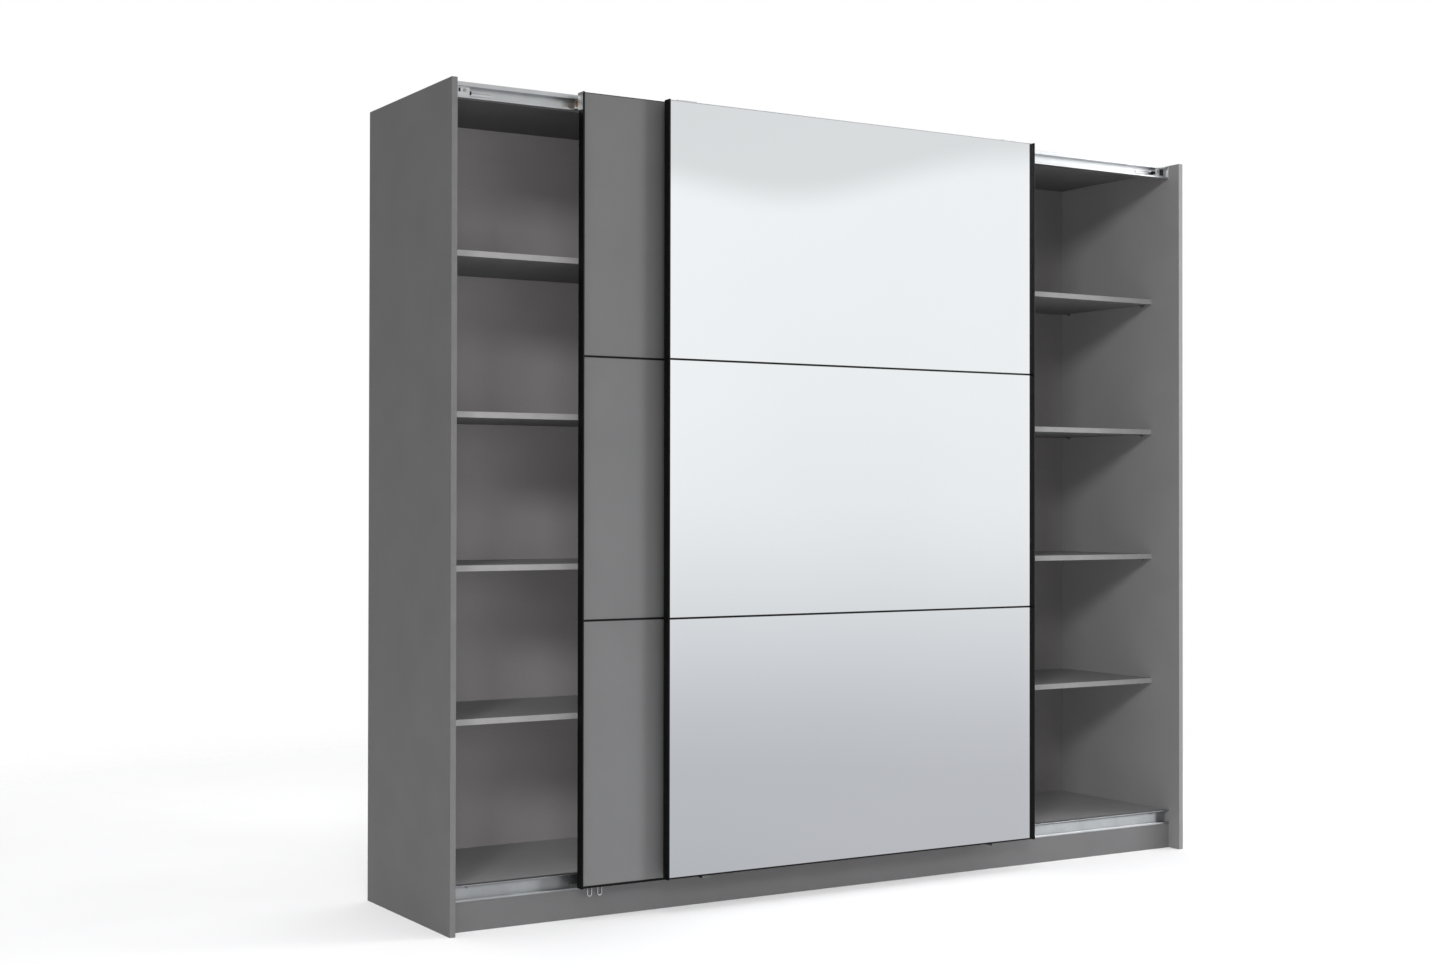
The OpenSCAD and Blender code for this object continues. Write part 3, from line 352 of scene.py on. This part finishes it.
def notch(piece, low, high):
    """Cuts a box between two corners out of a piece."""
    cutter = block("notch", low, high)
    only(piece)
    cut = piece.modifiers.new("notch", "BOOLEAN")
    cut.operation = "DIFFERENCE"
    cut.object = cutter
    bpy.ops.object.modifier_apply(modifier=cut.name)
    only(cutter)
    bpy.ops.object.delete()


def settle(piece, node, *finishes, angle=35, replaces=True, slot=None):
    """Ends a piece: smooth where it is round, its flat faces shaded flat up to their eased edges,
    dressed, and riding on its CAD node's body."""
    only(piece)
    bpy.ops.object.transform_apply(location=True, rotation=True, scale=True)
    bpy.ops.object.shade_smooth_by_angle(angle=math.radians(angle))
    level_faces = piece.modifiers.new("level_faces", "WEIGHTED_NORMAL")
    level_faces.keep_sharp = True
    level_faces.weight = 100
    bpy.ops.object.modifier_apply(modifier=level_faces.name)
    for finish in finishes:
        if finish.name not in piece.data.materials:
            piece.data.materials.append(finish)
    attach(piece, BODY_OF[node])
    if replaces:
        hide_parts(node)
    return piece


def ease(piece, width, segments=2, wanted=lambda edge: True):
    """Bevels the wanted edges."""
    pick(piece, "EDGE", wanted)
    bpy.ops.mesh.bevel(offset=width * MM, segments=segments, affect="EDGES")


def sharp(edge):
    """Whether two faces meet at an edge in more than 40 degrees."""
    return len(edge.link_faces) == 2 and edge.calc_face_angle() > math.radians(40)


def merged_copy(node, name):
    """A CAD node's shape as a new piece, its loose triangles merged and its flat faces made whole.
    It is left in edit mode, without the frame's marks and finishes."""
    only(NODES[node])
    bpy.ops.object.duplicate()
    piece = bpy.context.object
    piece.name = name
    for key in list(piece.keys()):
        del piece[key]
    piece.parent = None
    piece.data.materials.clear()
    only(piece)
    bpy.ops.object.mode_set(mode="EDIT")
    bpy.ops.mesh.select_mode(type="FACE")
    bpy.ops.mesh.select_all(action="SELECT")
    bpy.ops.mesh.remove_doubles(threshold=SAME_POINT)
    bpy.ops.mesh.dissolve_limited(angle_limit=math.radians(0.5))
    return piece


def solids(node):
    """The lowest and highest corners of each separate solid in a CAD node."""
    form = bmesh.new()
    form.from_mesh(NODES[node].data)
    bmesh.ops.remove_doubles(form, verts=form.verts, dist=SAME_POINT)
    unseen, boxes = set(form.verts), []
    while unseen:
        group, waiting = [], [unseen.pop()]
        while waiting:
            vert = waiting.pop()
            group.append(vert)
            for edge in vert.link_edges:
                other = edge.other_vert(vert)
                if other in unseen:
                    unseen.discard(other)
                    waiting.append(other)
        low = Vector(min(vert.co[i] for vert in group) for i in range(3))
        high = Vector(max(vert.co[i] for vert in group) for i in range(3))
        boxes.append((low, high))
    form.free()
    return sorted(boxes, key=lambda box: tuple(round(value, 4) for value in box[0]))


def repeat(model, places, turned=None):
    """Copies a model to each place, each with its own mesh, and joins the copies into one piece."""
    copies = []
    for i, place in enumerate(places):
        only(model)
        bpy.ops.object.duplicate()
        copied = bpy.context.object
        if turned and turned[i]:
            copied.rotation_euler = turned[i]
        copied.location = place
        only(copied)
        bpy.ops.object.transform_apply(location=True, rotation=True, scale=True)
        copies.append(copied)
    only(model)
    name = model.name
    bpy.ops.object.delete()
    clear()
    for copied in copies:
        copied.select_set(True)
    bpy.context.view_layer.objects.active = copies[0]
    if len(copies) > 1:
        bpy.ops.object.join()
    copies[0].name = name
    return copies[0]


# ---------------------------------------------------------------- boards
BOARD_EASE = 0.6
SHEET_RELIEF = 0.4


def board(node, name, face, edge):
    """A board cut to size, its arrises eased, banded on its four narrow sides."""
    low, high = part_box(node)
    piece = block(name, low, high)
    size = high - low
    thin = min(range(3), key=lambda i: size[i])
    ease(piece, BOARD_EASE)
    only(piece)
    piece.data.materials.append(face)
    piece.data.materials.append(edge)
    pick(piece, "FACE", lambda f: abs(f.normal[thin]) < 0.3)
    piece.active_material_index = 1
    bpy.ops.object.material_slot_assign()
    return settle(piece, node, angle=50)


for node_name in ("left_side_panel", "right_side_panel", "top_panel", "bottom_panel", "plinth",
                  "left_partition", "right_partition", "hat_shelf"):
    board(node_name, node_name.replace("panel", "board") + "_banded", board_face, board_edge)
for side in ("left", "right"):
    for i in range(1, 5):
        board(f"{side}_shelf_{i}", f"{side}_shelf_{i}_banded", board_face, board_edge)
for part in ("top", "middle", "bottom"):
    board(f"rear_panel_{part}", f"rear_door_{part}_filling", door_face, board_edge)
merged = merged_copy("base_ribs", "base_ribs_eased")
ease(merged, BOARD_EASE, 1, sharp)
settle(merged, "base_ribs", board_face)

# Hardboard sheets, held by a row of round nail heads along each rear edge
NAIL_PITCH, NAIL_INSET, NAIL_R = 150 * MM, 8 * MM, 2.4 * MM
SHEET_EASE = 0.3
nail_places = []
for node_name in ("left_back_panel", "centre_back_panel", "right_back_panel"):
    low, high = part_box(node_name)
    sheet_back = high.y - SHEET_RELIEF * MM
    piece = block(node_name.replace("panel", "sheet"), low, (high.x, sheet_back, high.z))
    ease(piece, SHEET_EASE, 1)
    settle(piece, node_name, FINISH["back_sheet"])
    across = max(2, round((high.x - low.x) / NAIL_PITCH))
    up = max(2, round((high.z - low.z) / NAIL_PITCH))
    for i in range(across + 1):
        x = low.x + NAIL_INSET + i * (high.x - low.x - 2 * NAIL_INSET) / across
        nail_places += [(x, sheet_back, low.z + NAIL_INSET), (x, sheet_back, high.z - NAIL_INSET)]
    for i in range(1, up):
        z = low.z + NAIL_INSET + i * (high.z - low.z - 2 * NAIL_INSET) / up
        nail_places += [(low.x + NAIL_INSET, sheet_back, z), (high.x - NAIL_INSET, sheet_back, z)]
nail = rod("back_sheet_nails", (0, 0, 0), NAIL_R, 2 * SHEET_RELIEF * MM, "y", 12)
ease(nail, SHEET_EASE, 1, lambda edge: sharp(edge) and middle(edge).y > 0)
settle(repeat(nail, nail_places), "left_back_panel", zinc, replaces=False, slot="zinc_steel")

# ---------------------------------------------------------------- mirrors and door frames
GROUND_ARRIS = 1.0
LINE_SPREAD = 0.7
for part in ("top", "middle", "bottom"):
    low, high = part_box(f"mirror_{part}")
    piece = block(f"mirror_{part}_glass", low, high)
    ease(piece, GROUND_ARRIS, 1, lambda edge: middle(edge).y < low.y + 0.1 * MM)
    settle(piece, f"mirror_{part}", FINISH["mirror_glass"], angle=20)


def widen(strips):
    """Rolls each strip's flange out a little over its two fields: its lower edge goes down, its
    upper edge up."""
    edges = sorted({round(corner[2], 4) for box in solids("front_door_dividers") for corner in box})
    for i, edge_z in enumerate(edges):
        pick(strips, "VERT", lambda v: abs(v.co.z - edge_z) < 0.2 * MM)
        bpy.ops.transform.translate(value=(0, 0, (-1, 1)[i % 2] * LINE_SPREAD * MM))


# The mirror door's upper end strip is bright, the lower one black like the rest of the frames
for node_name, width in (("front_left_handle", 0.4), ("front_right_handle", 0.4),
                         ("rear_left_handle", 0.4), ("rear_right_handle", 0.4),
                         ("front_door_dividers", 0.25), ("rear_door_dividers", 0.25),
                         ("front_door_end_strips", 0.25), ("rear_door_end_strips", 0.25)):
    merged = merged_copy(node_name, node_name + "_eased")
    if node_name.endswith("dividers"):
        widen(merged)
    ease(merged, width, 1, sharp)
    if node_name == "front_door_end_strips":
        only(merged)
        merged.data.materials.append(FINISH["black_profile"])
        merged.data.materials.append(rail_metal)
        pick(merged, "FACE", lambda f: middle(f).z > 1.5)
        merged.active_material_index = 1
        bpy.ops.object.material_slot_assign()
    settle(merged, node_name, FINISH["black_profile"], angle=60)

# ---------------------------------------------------------------- rails, hangers and guides
# The bottom rail takes the darkened aluminium, whose darker colour is painted shade
for node_name, finish in (("top_rail", rail_metal), ("bottom_rail", shaded_floor_rail_metal)):
    merged = merged_copy(node_name, node_name + "_eased")
    ease(merged, 0.35, 1, sharp)
    settle(merged, node_name, finish, angle=60)
for node_name in ("front_left_hanger", "front_right_hanger", "rear_left_hanger", "rear_right_hanger"):
    merged = merged_copy(node_name, node_name + "_pressed")
    ease(merged, 0.5, 2, sharp)
    settle(merged, node_name, cast_zinc if node_name.startswith("front") else zinc, angle=50)
for node_name in ("front_door_guides", "rear_door_guides"):
    merged = merged_copy(node_name, node_name + "_moulded")
    ease(merged, 0.4, 2, sharp)
    settle(merged, node_name, guide_nylon, angle=50)

# End stops: die-cast blocks, each with a pocket in its front and a slotted screw in the pocket
POCKET_RIM, POCKET_DEPTH = 2.2, 2.5
POCKET_SET_BACK = 2.3
POCKET_FACE = 400  # square millimetres: the least face that takes a pocket
stop_blocks = merged_copy("end_stops", "end_stops_cast")
stop_low, stop_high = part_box("end_stops")
pocket_y = stop_low.y + POCKET_SET_BACK * MM
pick(stop_blocks, "FACE", lambda f: f.normal.y < -0.9 and abs(middle(f).y - pocket_y) < 0.4 * MM
     and f.calc_area() > POCKET_FACE * MM * MM and middle(f).z < stop_high.z - 10 * MM)
bpy.ops.mesh.inset(thickness=POCKET_RIM * MM, depth=0.0)
bpy.ops.mesh.extrude_region_move(TRANSFORM_OT_translate={"value": (0, POCKET_DEPTH * MM, 0)})
ease(stop_blocks, 0.4, 1, sharp)
settle(stop_blocks, "end_stops", cast_zinc, angle=50)
# Each pocket holds a slotted cheese-head screw and the dark nylon catch beside it
CHEESE_R, CHEESE_H, SLOT_W = 4.5, 2.0, 1.1
SCREW_IN, CATCH_IN, CATCH_T = 41, 27, 1.6
SLOT_TURNS = (35, -20)
pocket_floor = pocket_y + POCKET_DEPTH * MM
screw = rod("end_stop_slotted_screws", (0, -CHEESE_H / 2 * MM, 0), CHEESE_R * MM, CHEESE_H * MM, "y")
ease(screw, 0.4, 2, lambda edge: sharp(edge) and middle(edge).y < -0.9 * CHEESE_H * MM)
notch(screw, (-2 * CHEESE_R * MM, -2 * CHEESE_H * MM, -SLOT_W / 2 * MM),
      (2 * CHEESE_R * MM, -0.5 * CHEESE_H * MM, SLOT_W / 2 * MM))
catch_z = (stop_low.z + stop_high.z) / 2
stop_places = [(side * (stop_high.x - SCREW_IN * MM), pocket_floor, catch_z) for side in (-1, 1)]
stop_turns = [(0, math.radians(degrees), 0) for degrees in SLOT_TURNS]
settle(repeat(screw, stop_places, stop_turns), "end_stops", zinc, replaces=False)
# The left pocket's catch is a small one, the right pocket's, which damps the mirror door, a big one
for name, side, wide, tall in (("left_stop_catch", -1, 5, 10), ("right_stop_catch", 1, 15, 24)):
    catch_x = side * (stop_high.x - CATCH_IN * MM)
    catch = block(name, (catch_x - wide / 2 * MM, pocket_floor - CATCH_T * MM, catch_z - tall / 2 * MM),
                  (catch_x + wide / 2 * MM, pocket_floor, catch_z + tall / 2 * MM))
    ease(catch, 0.7, 2, lambda edge: sharp(edge) and middle(edge).y < pocket_floor - 0.5 * MM)
    settle(catch, "end_stops", FINISH["dark_plastic"], replaces=False, slot="dark_plastic")

# ---------------------------------------------------------------- screws and small fittings
PAN_R, PAN_H, SHANK_R = 3.5 * MM, 2 * MM, 1.75 * MM
RECESS_LONG, RECESS_WIDE = 1.25 * PAN_R, 0.28 * PAN_R


def pan_head(name, shank):
    """A pan-head screw facing -Y from its seat at y = 0, with a cross recess."""
    piece = rod(name, (0, -PAN_H / 2, 0), PAN_R, PAN_H, "y")
    ease(piece, 0.45 * PAN_H / MM, 3, lambda edge: middle(edge).y < -0.9 * PAN_H and sharp(edge))
    pick(piece, "FACE", lambda f: f.normal.y > 0.9)
    bpy.ops.mesh.inset(thickness=PAN_R - SHANK_R, depth=0.0)
    bpy.ops.mesh.extrude_region_move(TRANSFORM_OT_translate={"value": (0, shank, 0)})
    for width, tall in ((RECESS_LONG, RECESS_WIDE), (RECESS_WIDE, RECESS_LONG)):
        notch(piece, (-width / 2, -PAN_H * 1.5, -tall / 2), (width / 2, -PAN_H * 0.55, tall / 2))
    return piece


def screw_row(node, faces_back):
    """The screws of a CAD node, each modelled head set at its own solid's place."""
    boxes = solids(node)
    shank = boxes[0][1].y - boxes[0][0].y - PAN_H
    model = pan_head(node.replace("screws", "pan_head_screws"), shank)
    places, turned = [], []
    for low, high in boxes:
        centre = (low + high) / 2
        places.append((centre.x, high.y - PAN_H if faces_back else low.y + PAN_H, centre.z))
        turned.append((0, 0, math.pi) if faces_back else None)
    return settle(repeat(model, places, turned), node, FINISH[SUBPARTS[node]["material_slot"]])


screw_row("rail_screws", False)
screw_row("front_door_screws", True)
screw_row("rear_door_screws", True)

# Cover caps over the cam locks: on top of the top panel, under the bottom panel and on the
# outer sides of the partitions. The node's thin solids are the cams' bolts, which have no cap
CAP_R, CAP_H, CAM_LEAST = 8.5, 1.2, 10
cap = rod("cam_cover_caps", (0, 0, 0), CAP_R * MM, CAP_H * MM, "z")
ease(cap, 0.5, 2, lambda edge: sharp(edge) and middle(edge).z > 0)
cap_places, cap_turns = [], []
roof_z, base_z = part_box("top_panel")[1].z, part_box("bottom_panel")[0].z
for low, high in solids("cam_fittings"):
    centre, size = (low + high) / 2, high - low
    if min(size) < CAM_LEAST * MM:
        continue
    if size.z < size.x:
        up_facing = centre.z > 1.0
        cap_places.append((centre.x, centre.y, roof_z if up_facing else base_z))
        cap_turns.append(None if up_facing else (math.pi, 0, 0))
    else:
        outward = -1 if centre.x < 0 else 1
        face_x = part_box("left_partition")[0].x if outward < 0 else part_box("right_partition")[1].x
        cap_places.append((face_x, centre.y, centre.z))
        cap_turns.append((0, outward * math.pi / 2, 0))
settle(repeat(cap, cap_places, cap_turns), "cam_fittings", cap_plastic, slot="graphite_board")

# Rollers: nylon tyres with a groove round the middle of the tread and a sunk ring in each face
GROOVE_TOP, GROOVE_FLOOR = 3.2, 1.9
GROOVE_SHARE = 10 / 12
RING_RIM, RING_SLOPE, RING_SUNK = 2.2, 2.4, 0.8
for node_name in ("front_left_roller", "front_right_roller", "rear_left_roller", "rear_right_roller"):
    low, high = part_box(node_name)
    centre, radius, width = (low + high) / 2, (high.z - low.z) / 2, high.y - low.y
    tyre = rod(node_name.replace("roller", "tyre"), centre, radius, width, "y", 48)
    ease(tyre, 0.6, 2, sharp)
    for offset in (-GROOVE_TOP, -GROOVE_FLOOR, GROOVE_FLOOR, GROOVE_TOP):
        pick(tyre, "FACE", lambda f: True)
        bpy.ops.mesh.bisect(plane_co=(centre.x, centre.y + offset * MM, centre.z), plane_no=(0, 1, 0))
    pick(tyre, "VERT", lambda v: abs(abs(v.co.y - centre.y) - GROOVE_FLOOR * MM) < 0.1 * MM)
    bpy.ops.transform.resize(value=(GROOVE_SHARE, 1, GROOVE_SHARE), center_override=centre)
    for facing in (-1, 1):
        pick(tyre, "FACE", lambda f: f.normal.y * facing > 0.99
             and abs(middle(f).y - centre.y) > 0.45 * width)
        bpy.ops.mesh.inset(thickness=RING_RIM * MM, depth=-RING_SUNK * MM)
        bpy.ops.mesh.inset(thickness=RING_SLOPE * MM, depth=RING_SUNK * MM)
    settle(tyre, node_name, FINISH["dark_plastic"])

# Hooks: one length of wire bent to a U, with a peg into the plinth behind each leg
hook_boxes = solids("plinth_hooks")
low, high = hook_boxes[0]
WIRE_R = 1.0 * MM
PEG_DROP = 8 * MM
bend_r = (high.x - low.x) / 2 - WIRE_R
bend_z = low.z + bend_r + WIRE_R
peg_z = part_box("plinth")[1].z - PEG_DROP
clear()
bpy.ops.mesh.primitive_circle_add(vertices=12, radius=WIRE_R, fill_type="NGON", location=(-bend_r, 0, high.z))
hook = bpy.context.object
hook.name = "plinth_wire_hooks"
bpy.ops.object.transform_apply(location=True, rotation=True, scale=True)
pick(hook, "FACE", lambda f: True)
bpy.ops.mesh.extrude_region_move(TRANSFORM_OT_translate={"value": (0, 0, bend_z - high.z)})
bpy.ops.mesh.spin(steps=16, angle=math.pi, center=(0, 0, bend_z), axis=(0, 1, 0))
bpy.ops.mesh.extrude_region_move(TRANSFORM_OT_translate={"value": (0, 0, high.z - bend_z)})
peg_l = high.y - low.y - WIRE_R
pegs = [rod("peg", (x, peg_l / 2, peg_z), WIRE_R, peg_l, "y", 12) for x in (-bend_r, bend_r)]
only(hook)
for peg in pegs:
    peg.select_set(True)
bpy.ops.object.join()
pick(hook, "FACE", lambda f: True)
bpy.ops.mesh.normals_make_consistent(inside=False)
hook_places = [((box[0].x + box[1].x) / 2, box[0].y + WIRE_R, 0) for box in hook_boxes]
settle(repeat(hook, hook_places), "plinth_hooks", bright_wire)

# Levelling feet: a domed nylon disc, a hexagon collar and a plain stud
STUD_R = 4
foot_boxes = solids("levelling_feet")
low, high = foot_boxes[0]
foot_r = (high.x - low.x) / 2
base_h = (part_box("base_ribs")[0].z - low.z) / 3
foot = rod("levelling_feet_discs", (0, 0, base_h / 2), foot_r, base_h, "z", 48)
ease(foot, 2.0, 4, lambda edge: sharp(edge) and middle(edge).z > base_h * 0.9)
hexagon = rod("hexagon", (0, 0, base_h * 2), foot_r * 0.6, base_h * 2, "z", 6)
ease(hexagon, 0.8, 2, lambda edge: sharp(edge) and abs(middle(edge).z - 2 * base_h) > 0.9 * base_h)
stud = rod("stud", (0, 0, (high.z + base_h) / 2), STUD_R * MM, high.z - base_h, "z", 24)
ease(stud, 0.6, 1, sharp)
only(foot)
hexagon.select_set(True)
stud.select_set(True)
bpy.ops.object.join()
foot_places = [((box[0].x + box[1].x) / 2, (box[0].y + box[1].y) / 2, 0) for box in foot_boxes]
settle(repeat(foot, foot_places), "levelling_feet", FINISH["dark_plastic"])

# Stop buffers, the hanging rail with its rosettes, the shelf pins and the height adjusters
for node_name, name, width in (("stop_buffers", "stop_buffers_domed", 1.2),
                               ("shelf_pins", "shelf_pins_turned", 0.4),
                               ("hanging_rail", "hanging_rail_tube", 0.3),
                               ("rail_rosettes", "rail_rosettes_cast", 0.8),
                               ("rear_door_adjusters", "rear_door_adjuster_screws", 0.3)):
    merged = merged_copy(node_name, name)
    ease(merged, width, 2, sharp)
    settle(merged, node_name, FINISH[SUBPARTS[node_name]["material_slot"]])

# ---------------------------------------------------------------- stage and light
# The floor is pale and plain, and fades out towards its rim so that no edge shows
FLOOR_R, FADE_FROM = 4.5, 1.9
clear()
bpy.ops.mesh.primitive_circle_add(vertices=96, radius=FLOOR_R, fill_type="NGON", location=(0, 0, 0))
floor = bpy.context.object
floor.name = "studio_floor"
floor.visible_glossy = False
pale_floor, tree, shader, place = begin("pale_studio_floor", 0.0, 0.1)
broad = add(tree, "ShaderNodeMapping", None, {"Vector": place, "Scale": cells(700, 700, 700)})
cloud = add(tree, "ShaderNodeTexNoise", None, {"Vector": broad, "Scale": 1.0, "Detail": 2.0})
add(tree, "ShaderNodeValToRGB", None, {"Fac": cloud}, tints("#f4f4f5", "#f7f7f8"), shader["Base Color"])
shader["Roughness"].default_value = 0.9
away = add(tree, "ShaderNodeVectorMath", {"operation": "LENGTH"}, {0: place})
add(tree, "ShaderNodeMapRange", {"interpolation_type": "SMOOTHERSTEP"},
    {"Value": away.outputs["Value"], "From Min": FADE_FROM, "From Max": FLOOR_R,
     "To Min": 1.0, "To Max": 0.0}, into=shader["Alpha"])
floor.data.materials.append(pale_floor)

# The studio as the pieces see it: an even soft surround for their colour, and for reflections a
# pale wall that falls to a grey floor below eye level, with a dimmer ceiling panel above
world = bpy.data.worlds.new("soft_studio")
bpy.context.scene.world = world
world.use_nodes = True
sky = world.node_tree
sky.nodes.clear()
towards = add(sky, "ShaderNodeTexCoord").outputs["Generated"]
axes = add(sky, "ShaderNodeSeparateXYZ", None, {"Vector": towards})
# Elevation in degrees, level and blueness of what reflections see there, from the floor up
REFLECTED = ((-12.0, 0.50, 1.045), (-9.5, 0.555, 1.045), (-7.6, 0.572, 1.045), (-6.2, 0.625, 1.04),
             (-5.2, 0.680, 1.03), (-4.2, 0.743, 1.02), (-2.3, 0.850, 1.01), (-1.2, 0.905, 1.005),
             (0.0, 0.950, 1.0), (2.6, 0.985, 1.0), (8.0, 1.0, 1.0))
SHINE = 1.1
REDNESS = 0.985
TOP_Z = math.sin(math.radians(12.0))
stops = []
for elevation, value, blue in REFLECTED:
    value /= SHINE
    position = (math.sin(math.radians(elevation)) + TOP_Z) / (2 * TOP_Z)
    stops.append((position, (value * REDNESS, value, value * blue, 1)))
height = add(sky, "ShaderNodeMapRange", None,
             {"Value": axes.outputs["Z"], "From Min": -TOP_Z, "From Max": TOP_Z})
wall = add(sky, "ShaderNodeValToRGB", None, {"Fac": height}, stops)
backwards = add(sky, "ShaderNodeMath", {"operation": "MULTIPLY"}, {0: axes.outputs["Y"], 1: -1.0})
bearing = add(sky, "ShaderNodeMath", {"operation": "ARCTAN2"}, {0: axes.outputs["X"], 1: backwards})
# The ceiling panel's near edge dips in its middle
DIP_AT, DIP_REACH, DIP_DEPTH = math.radians(33.4), math.radians(6), 0.017
PANEL_FROM, PANEL_FULL, PANEL_LEVEL = 0.1400, 0.1600, 0.81
aside = add(sky, "ShaderNodeMath", {"operation": "SUBTRACT"}, {0: bearing, 1: DIP_AT})
far_aside = add(sky, "ShaderNodeMath", {"operation": "ABSOLUTE"}, {0: aside})
dip = add(sky, "ShaderNodeMapRange", {"interpolation_type": "SMOOTHSTEP"},
          {"Value": far_aside, "From Min": 0.0, "From Max": DIP_REACH, "To Min": 0.0, "To Max": DIP_DEPTH})
lowered = add(sky, "ShaderNodeMath", {"operation": "SUBTRACT"}, {0: axes.outputs["Z"], 1: dip})
panel = add(sky, "ShaderNodeMapRange", {"interpolation_type": "SMOOTHSTEP"},
            {"Value": lowered, "From Min": PANEL_FROM, "From Max": PANEL_FULL, "To Min": 1.0,
             "To Max": PANEL_LEVEL})
# Bearing in degrees to the right of straight ahead, and the wall's level there: pale ahead, pale
# again and then brightest at the right, with a darker gap between, and dark behind
AROUND = ((-60, 0.30), (-48, 0.85), (0, 0.85), (13, 0.32), (18, 0.32), (25, 0.55), (28.5, 1.0), (40, 1.0),
          (45, 1.45), (60, 1.5))
WIDEST, BRIGHTEST = 60, 1.5
sides = add(sky, "ShaderNodeMapRange", None,
            {"Value": bearing, "From Min": math.radians(-WIDEST), "From Max": math.radians(WIDEST)})
spread = add(sky, "ShaderNodeValToRGB", None, {"Fac": sides},
             [((degrees + WIDEST) / (2 * WIDEST), (level / BRIGHTEST,) * 3 + (1,))
              for degrees, level in AROUND])
strength = add(sky, "ShaderNodeMath", {"operation": "MULTIPLY"}, {0: spread, 1: BRIGHTEST * SHINE})
steady = add(sky, "ShaderNodeMath", {"operation": "MULTIPLY"}, {0: strength, 1: panel})
# Colour comes from the ambient, reflections from the wall, and the camera sees plain white
path = add(sky, "ShaderNodeLightPath")
WHITE = (1.0, 1.0, 1.0, 1.0)
ambient = add(sky, "ShaderNodeBackground", None, {"Color": WHITE, "Strength": 0.50})
seen = add(sky, "ShaderNodeBackground", None, {"Color": WHITE, "Strength": 1.0})
mirrored = add(sky, "ShaderNodeBackground", None, {"Color": wall, "Strength": steady})
indoors = add(sky, "ShaderNodeMixShader", None, {0: path.outputs["Is Glossy Ray"], 1: ambient, 2: mirrored})
shown = add(sky, "ShaderNodeMixShader", None, {0: path.outputs["Is Camera Ray"], 1: indoors, 2: seen})
add(sky, "ShaderNodeOutputWorld", None, {"Surface": shown})


def softbox(name, place, aim, width, height, power, lights=None, shadow=True, glint=False, spares=()):
    """A soft rectangular lamp at a place, turned to what it lights: all, all but the pieces it
    spares, or the named pieces alone. No lamp shows, and reflections hold only those that light
    all or glint."""
    light = bpy.data.lights.new(name, "AREA")
    light.shape = "RECTANGLE"
    light.size, light.size_y = width, height
    light.energy = power
    light.use_shadow = shadow
    lamp = bpy.data.objects.new(name, light)
    bpy.context.scene.collection.objects.link(lamp)
    lamp.location = place
    lamp.rotation_euler = (Vector(aim) - Vector(place)).to_track_quat("-Z", "Y").to_euler()
    lamp.visible_camera = False
    lamp.visible_glossy = glint or not lights
    if lights or spares:
        lit = bpy.data.collections.new(name + "_lights")
        for piece in bpy.context.scene.objects:
            named = any(word in piece.name for word in lights or ("",))
            if piece.type == "MESH" and named and not any(word in piece.name for word in spares):
                lit.objects.link(piece)
        lamp.light_linking.receiver_collection = lit


# The pieces that the inner lamps light. A CAD node and the piece in its place are named alike
INSIDE = ("back_sheet", "back_panel", "shelf", "partition", "top_board", "top_panel", "bottom_board",
          "bottom_panel", "right_side")
FILLED = ("left_back", "centre_back", "shelf", "partition", "bottom_board", "bottom_panel", "right_side")
LEFT_BAY = ("left_back_sheet", "left_back_panel", "left_shelf")
FLOOR_RAIL = ("bottom_rail",)
BOTTOM = ("bottom_board", "bottom_panel")
softbox("left_softbox", (-4.4, -8.4, 5.2), (0, 0, 1.0), 1.6, 1.6, 150, spares=("filling",))
softbox("right_softbox", (6.0, -2.6, 2.4), (0, -0.2, 1.0), 2.0, 3.0, 160, spares=("filling",))
softbox("rear_door_softbox", (6.3, -5.9, 1.2), (-0.6, -0.2, 1.1), 2.2, 1.5, 300, ("filling",))
softbox("inside_softbox", (-6.0, -6.4, 4.6), (0, 0.3, 1.0), 1.4, 1.4, 330, INSIDE)
softbox("inside_fill", (-4.2, -6.0, 1.8), (0, 0.3, 1.1), 2.0, 2.0, 190, FILLED, shadow=False)
softbox("right_back_fill", (-4.2, -6.0, 1.8), (0, 0.3, 1.1), 2.0, 2.0, 115, ("right_back",), shadow=False)
softbox("left_bay_fill", (-1.9, -5.0, 1.2), (-0.95, 0.3, 1.1), 3.0, 1.8, 80, LEFT_BAY)
softbox("floor_rail_glint", (3.5, -4.0, 1.65), (0, -0.25, 0.1), 0.8, 0.3, 170, FLOOR_RAIL + ("plinth_wire",),
        glint=True)
softbox("left_rail_glint", (0.7, -5.0, 0.45), (-1.0, -0.25, 0.1), 0.8, 0.3, 14, FLOOR_RAIL, glint=True)
softbox("bottom_board_fill", (-0.15, -0.62, 0.34), (-0.15, -0.2, 0.1), 2.5, 0.1, 6, BOTTOM, shadow=False)
softbox("floor_fill", (0, 0, 6.0), (0, 0, 0), 6.0, 6.0, 300, ("studio_floor",), shadow=False)
